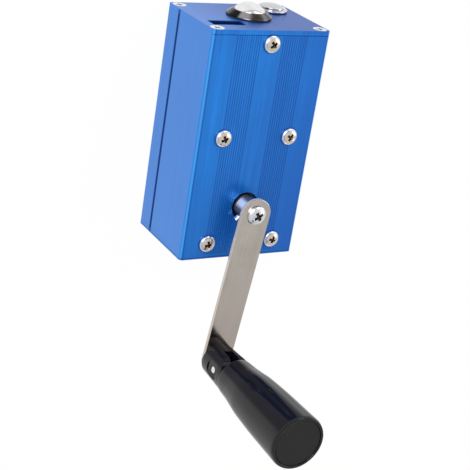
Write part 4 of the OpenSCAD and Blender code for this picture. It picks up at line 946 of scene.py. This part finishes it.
def smoothLine(points, steps):
    # points of a curve that runs smoothly through the given points
    line = []
    for i in range(len(points) - 1):
        a, b = points[max(0, i - 1)], points[i]
        c, d = points[i + 1], points[min(len(points) - 1, i + 2)]
        for k in range(steps):
            t = k / steps
            line.append(tuple((2 * b[n] + (c[n] - a[n]) * t
                + (2 * a[n] - 5 * b[n] + 4 * c[n] - d[n]) * t * t
                + (3 * b[n] - a[n] - 3 * c[n] + d[n]) * t ** 3) / 2 for n in (0, 1)))
    return line + [points[-1]]


def gripProfile(grip):
    # up the outside, then down inside: the cap's seat, the well, the bore and the foot
    outline = smoothLine([(r * grip["radius"], grip["foot"] + h * grip["length"])
        for h, r in zip(grip["heights"], grip["radii"])], grip["curveSteps"])
    top = grip["foot"] + grip["length"]
    outline[-1] = (*outline[-1], grip["outerRounding"])
    return outline + [(grip["capRadius"], top, grip["innerRounding"]),
        (grip["capRadius"], grip["capFoot"]),
        (grip["wellRadius"], grip["capFoot"]), (grip["wellRadius"], grip["wellFoot"]),
        (grip["bore"], grip["wellFoot"]), (grip["bore"], grip["socketTop"]),
        (grip["socketRadius"], grip["socketTop"]), (grip["socketRadius"], grip["foot"])]


def capProfile(cap):
    # a shallow dish with a rounded rim
    floor = cap["top"] - cap["dish"]
    return [(0.0, floor), (cap["dishRadius"], floor), (cap["dishEnd"], cap["top"]),
        (cap["radius"], cap["top"], cap["rounding"]), (cap["radius"], cap["foot"]),
        (0.0, cap["foot"])]


addEased("handlePost", "handle_post", handleEase["post"], "crank", "black_handle")
postPlace = handleAxis @ at(0.0, 0.0, postScrew["seat"]) @ turn(180.0, "X")
addScrews("postScrew", postScrew, [postPlace], "crank", "post_screw")
pinAxis = handleAxis @ at(0.0, 0.0, hingePin["height"]) @ turn(90.0, "Y")
addTurned("hingePin", hingePin["profile"], pinAxis, "crank", "polished_steel", "hinge_pin",
    hingePin["steps"])
addEased("handleSpindle", "handle_spindle", handleEase["spindle"], "handle", "plate_steel")
addTurned("gripSleeve", gripProfile(gripShape), handleAxis, "grip_sleeve", "black_handle",
    "grip", gripShape["steps"], True)
addTurned("endCap", capProfile(endCap), handleAxis, "grip_sleeve", "matt_black_plastic",
    "grip_end_cap", endCap["steps"])
print("handle made")


# Finishes of the solids that stay

for row in frame["record"]["subparts"]:
    node = frame["nodes"].get(row["node"])
    if node is None:
        continue
    for materialSlot in node.material_slots:
        materialSlot.material = finishes[row["material_slot"]].material
print("finishes given to", len(frame["nodes"]), "nodes")


# Floor, light and camera: places and lamp sizes are in metres

studio = {
    "floorSize": 6.0, "floorDrop": 0.05, "floorColour": (0.97, 0.97, 0.97, 1.0),
    "floorRoughness": 0.9, "floorGlow": 0.96, "floorShine": 0.88,
    "white": (1.0, 1.0, 1.0, 1.0), "ambient": 0.46, "skyShine": 0.38, "skyGlow": 1.0,
    "aim": (0.0, -0.03, 0.04),
    "lamps": [
        {"name": "keyLamp", "place": (-0.55, 0.45, 0.75), "size": 0.6, "power": 4.2,
         "colour": (1.0, 0.985, 0.96)},
        {"name": "fillLamp", "place": (0.95, 0.2, 0.5), "size": 0.7, "power": 2.4,
         "colour": (0.97, 0.985, 1.0)},
        {"name": "topLamp", "place": (0.42, 0.7, 0.4), "size": 0.42, "power": 1.0,
         "colour": (1.0, 1.0, 1.0)},
    ],
}
reflections = ("Is Glossy Ray", "Is Transmission Ray")
sight = ("Is Camera Ray",)


def litSurface(tree, kind, base, levels):
    # base, with an even white glow mixed in for each row of rays, strength and share
    path = tree.nodes.new("ShaderNodeLightPath")
    below = base
    for rays, strength, share in levels:
        seen = tree.nodes.new("ShaderNodeMath")
        seen.operation = "MAXIMUM"
        for i, ray in enumerate(rays):
            tree.links.new(path.outputs[ray], seen.inputs[i])
        part = tree.nodes.new("ShaderNodeMath")
        part.operation = "MULTIPLY"
        part.inputs[1].default_value = share
        tree.links.new(seen.outputs[0], part.inputs[0])
        glowing = tree.nodes.new(kind)
        glowing.inputs["Color"].default_value = studio["white"]
        glowing.inputs["Strength"].default_value = strength
        mix = tree.nodes.new("ShaderNodeMixShader")
        tree.links.new(part.outputs[0], mix.inputs[0])
        tree.links.new(below, mix.inputs[1])
        tree.links.new(glowing.outputs[0], mix.inputs[2])
        below = mix.outputs[0]
    return below


floorBm = bmesh.new()
bmesh.ops.create_grid(floorBm, x_segments=1, y_segments=1, size=studio["floorSize"] / 2)
bmesh.ops.translate(floorBm, vec=(0.0, 0.0, -studio["floorDrop"] * mm), verts=floorBm.verts[:])
floorMesh = bpy.data.meshes.new("floor")
floorBm.to_mesh(floorMesh)
floorBm.free()
floor = bpy.data.objects.new("floor", floorMesh)
bpy.context.scene.collection.objects.link(floor)
floorPaint = bpy.data.materials.new("paleFloor")
floorPaint.use_nodes = True
floorTree = floorPaint.node_tree
floorShader = floorTree.nodes["Principled BSDF"]
floorShader.inputs["Base Color"].default_value = studio["floorColour"]
floorShader.inputs["Roughness"].default_value = studio["floorRoughness"]
floorLit = litSurface(floorTree, "ShaderNodeEmission", floorShader.outputs[0],
    [(reflections, 1.0, studio["floorShine"]), (sight, 1.0, studio["floorGlow"])])
floorTree.links.new(floorLit, floorTree.nodes["Material Output"].inputs["Surface"])
floorMesh.materials.append(floorPaint)

world = bpy.data.worlds.new("softStudio")
bpy.context.scene.world = world
world.use_nodes = True
worldTree = world.node_tree
ambient = worldTree.nodes["Background"]
ambient.inputs["Color"].default_value = studio["white"]
ambient.inputs["Strength"].default_value = studio["ambient"]
worldLit = litSurface(worldTree, "ShaderNodeBackground", ambient.outputs[0],
    [(reflections, studio["skyShine"], 1.0), (sight, studio["skyGlow"], 1.0)])
worldTree.links.new(worldLit, worldTree.nodes["World Output"].inputs["Surface"])

for lamp in studio["lamps"]:
    light = bpy.data.lights.new(lamp["name"], "AREA")
    light.shape = "SQUARE"
    light.size = lamp["size"]
    light.energy = lamp["power"]
    light.color = lamp["colour"]
    holder = bpy.data.objects.new(lamp["name"], light)
    holder.location = lamp["place"]
    aim = Vector(studio["aim"]) - Vector(lamp["place"])
    holder.rotation_euler = aim.to_track_quat("-Z", "Y").to_euler()
    bpy.context.scene.collection.objects.link(holder)

# lens, sensor and place in mm, angles in degrees, the near clip in metres
view = {
    "lens": 96.1601, "sensor": 36.0, "place": (-267.715, 167.897, 458.386),
    "angles": (-27.80222, -28.37101, 9.90348), "nearClip": 0.01,
}
cameraData = bpy.data.cameras.new("camera")
cameraData.lens = view["lens"]
cameraData.sensor_width = view["sensor"]
cameraData.clip_start = view["nearClip"]
camera = bpy.data.objects.new("camera", cameraData)
camera.location = [c * mm for c in view["place"]]
camera.rotation_euler = [math.radians(a) for a in view["angles"]]
bpy.context.scene.collection.objects.link(camera)
bpy.context.scene.camera = camera
bpy.context.scene.view_settings.view_transform = "Standard"
print("studio made")
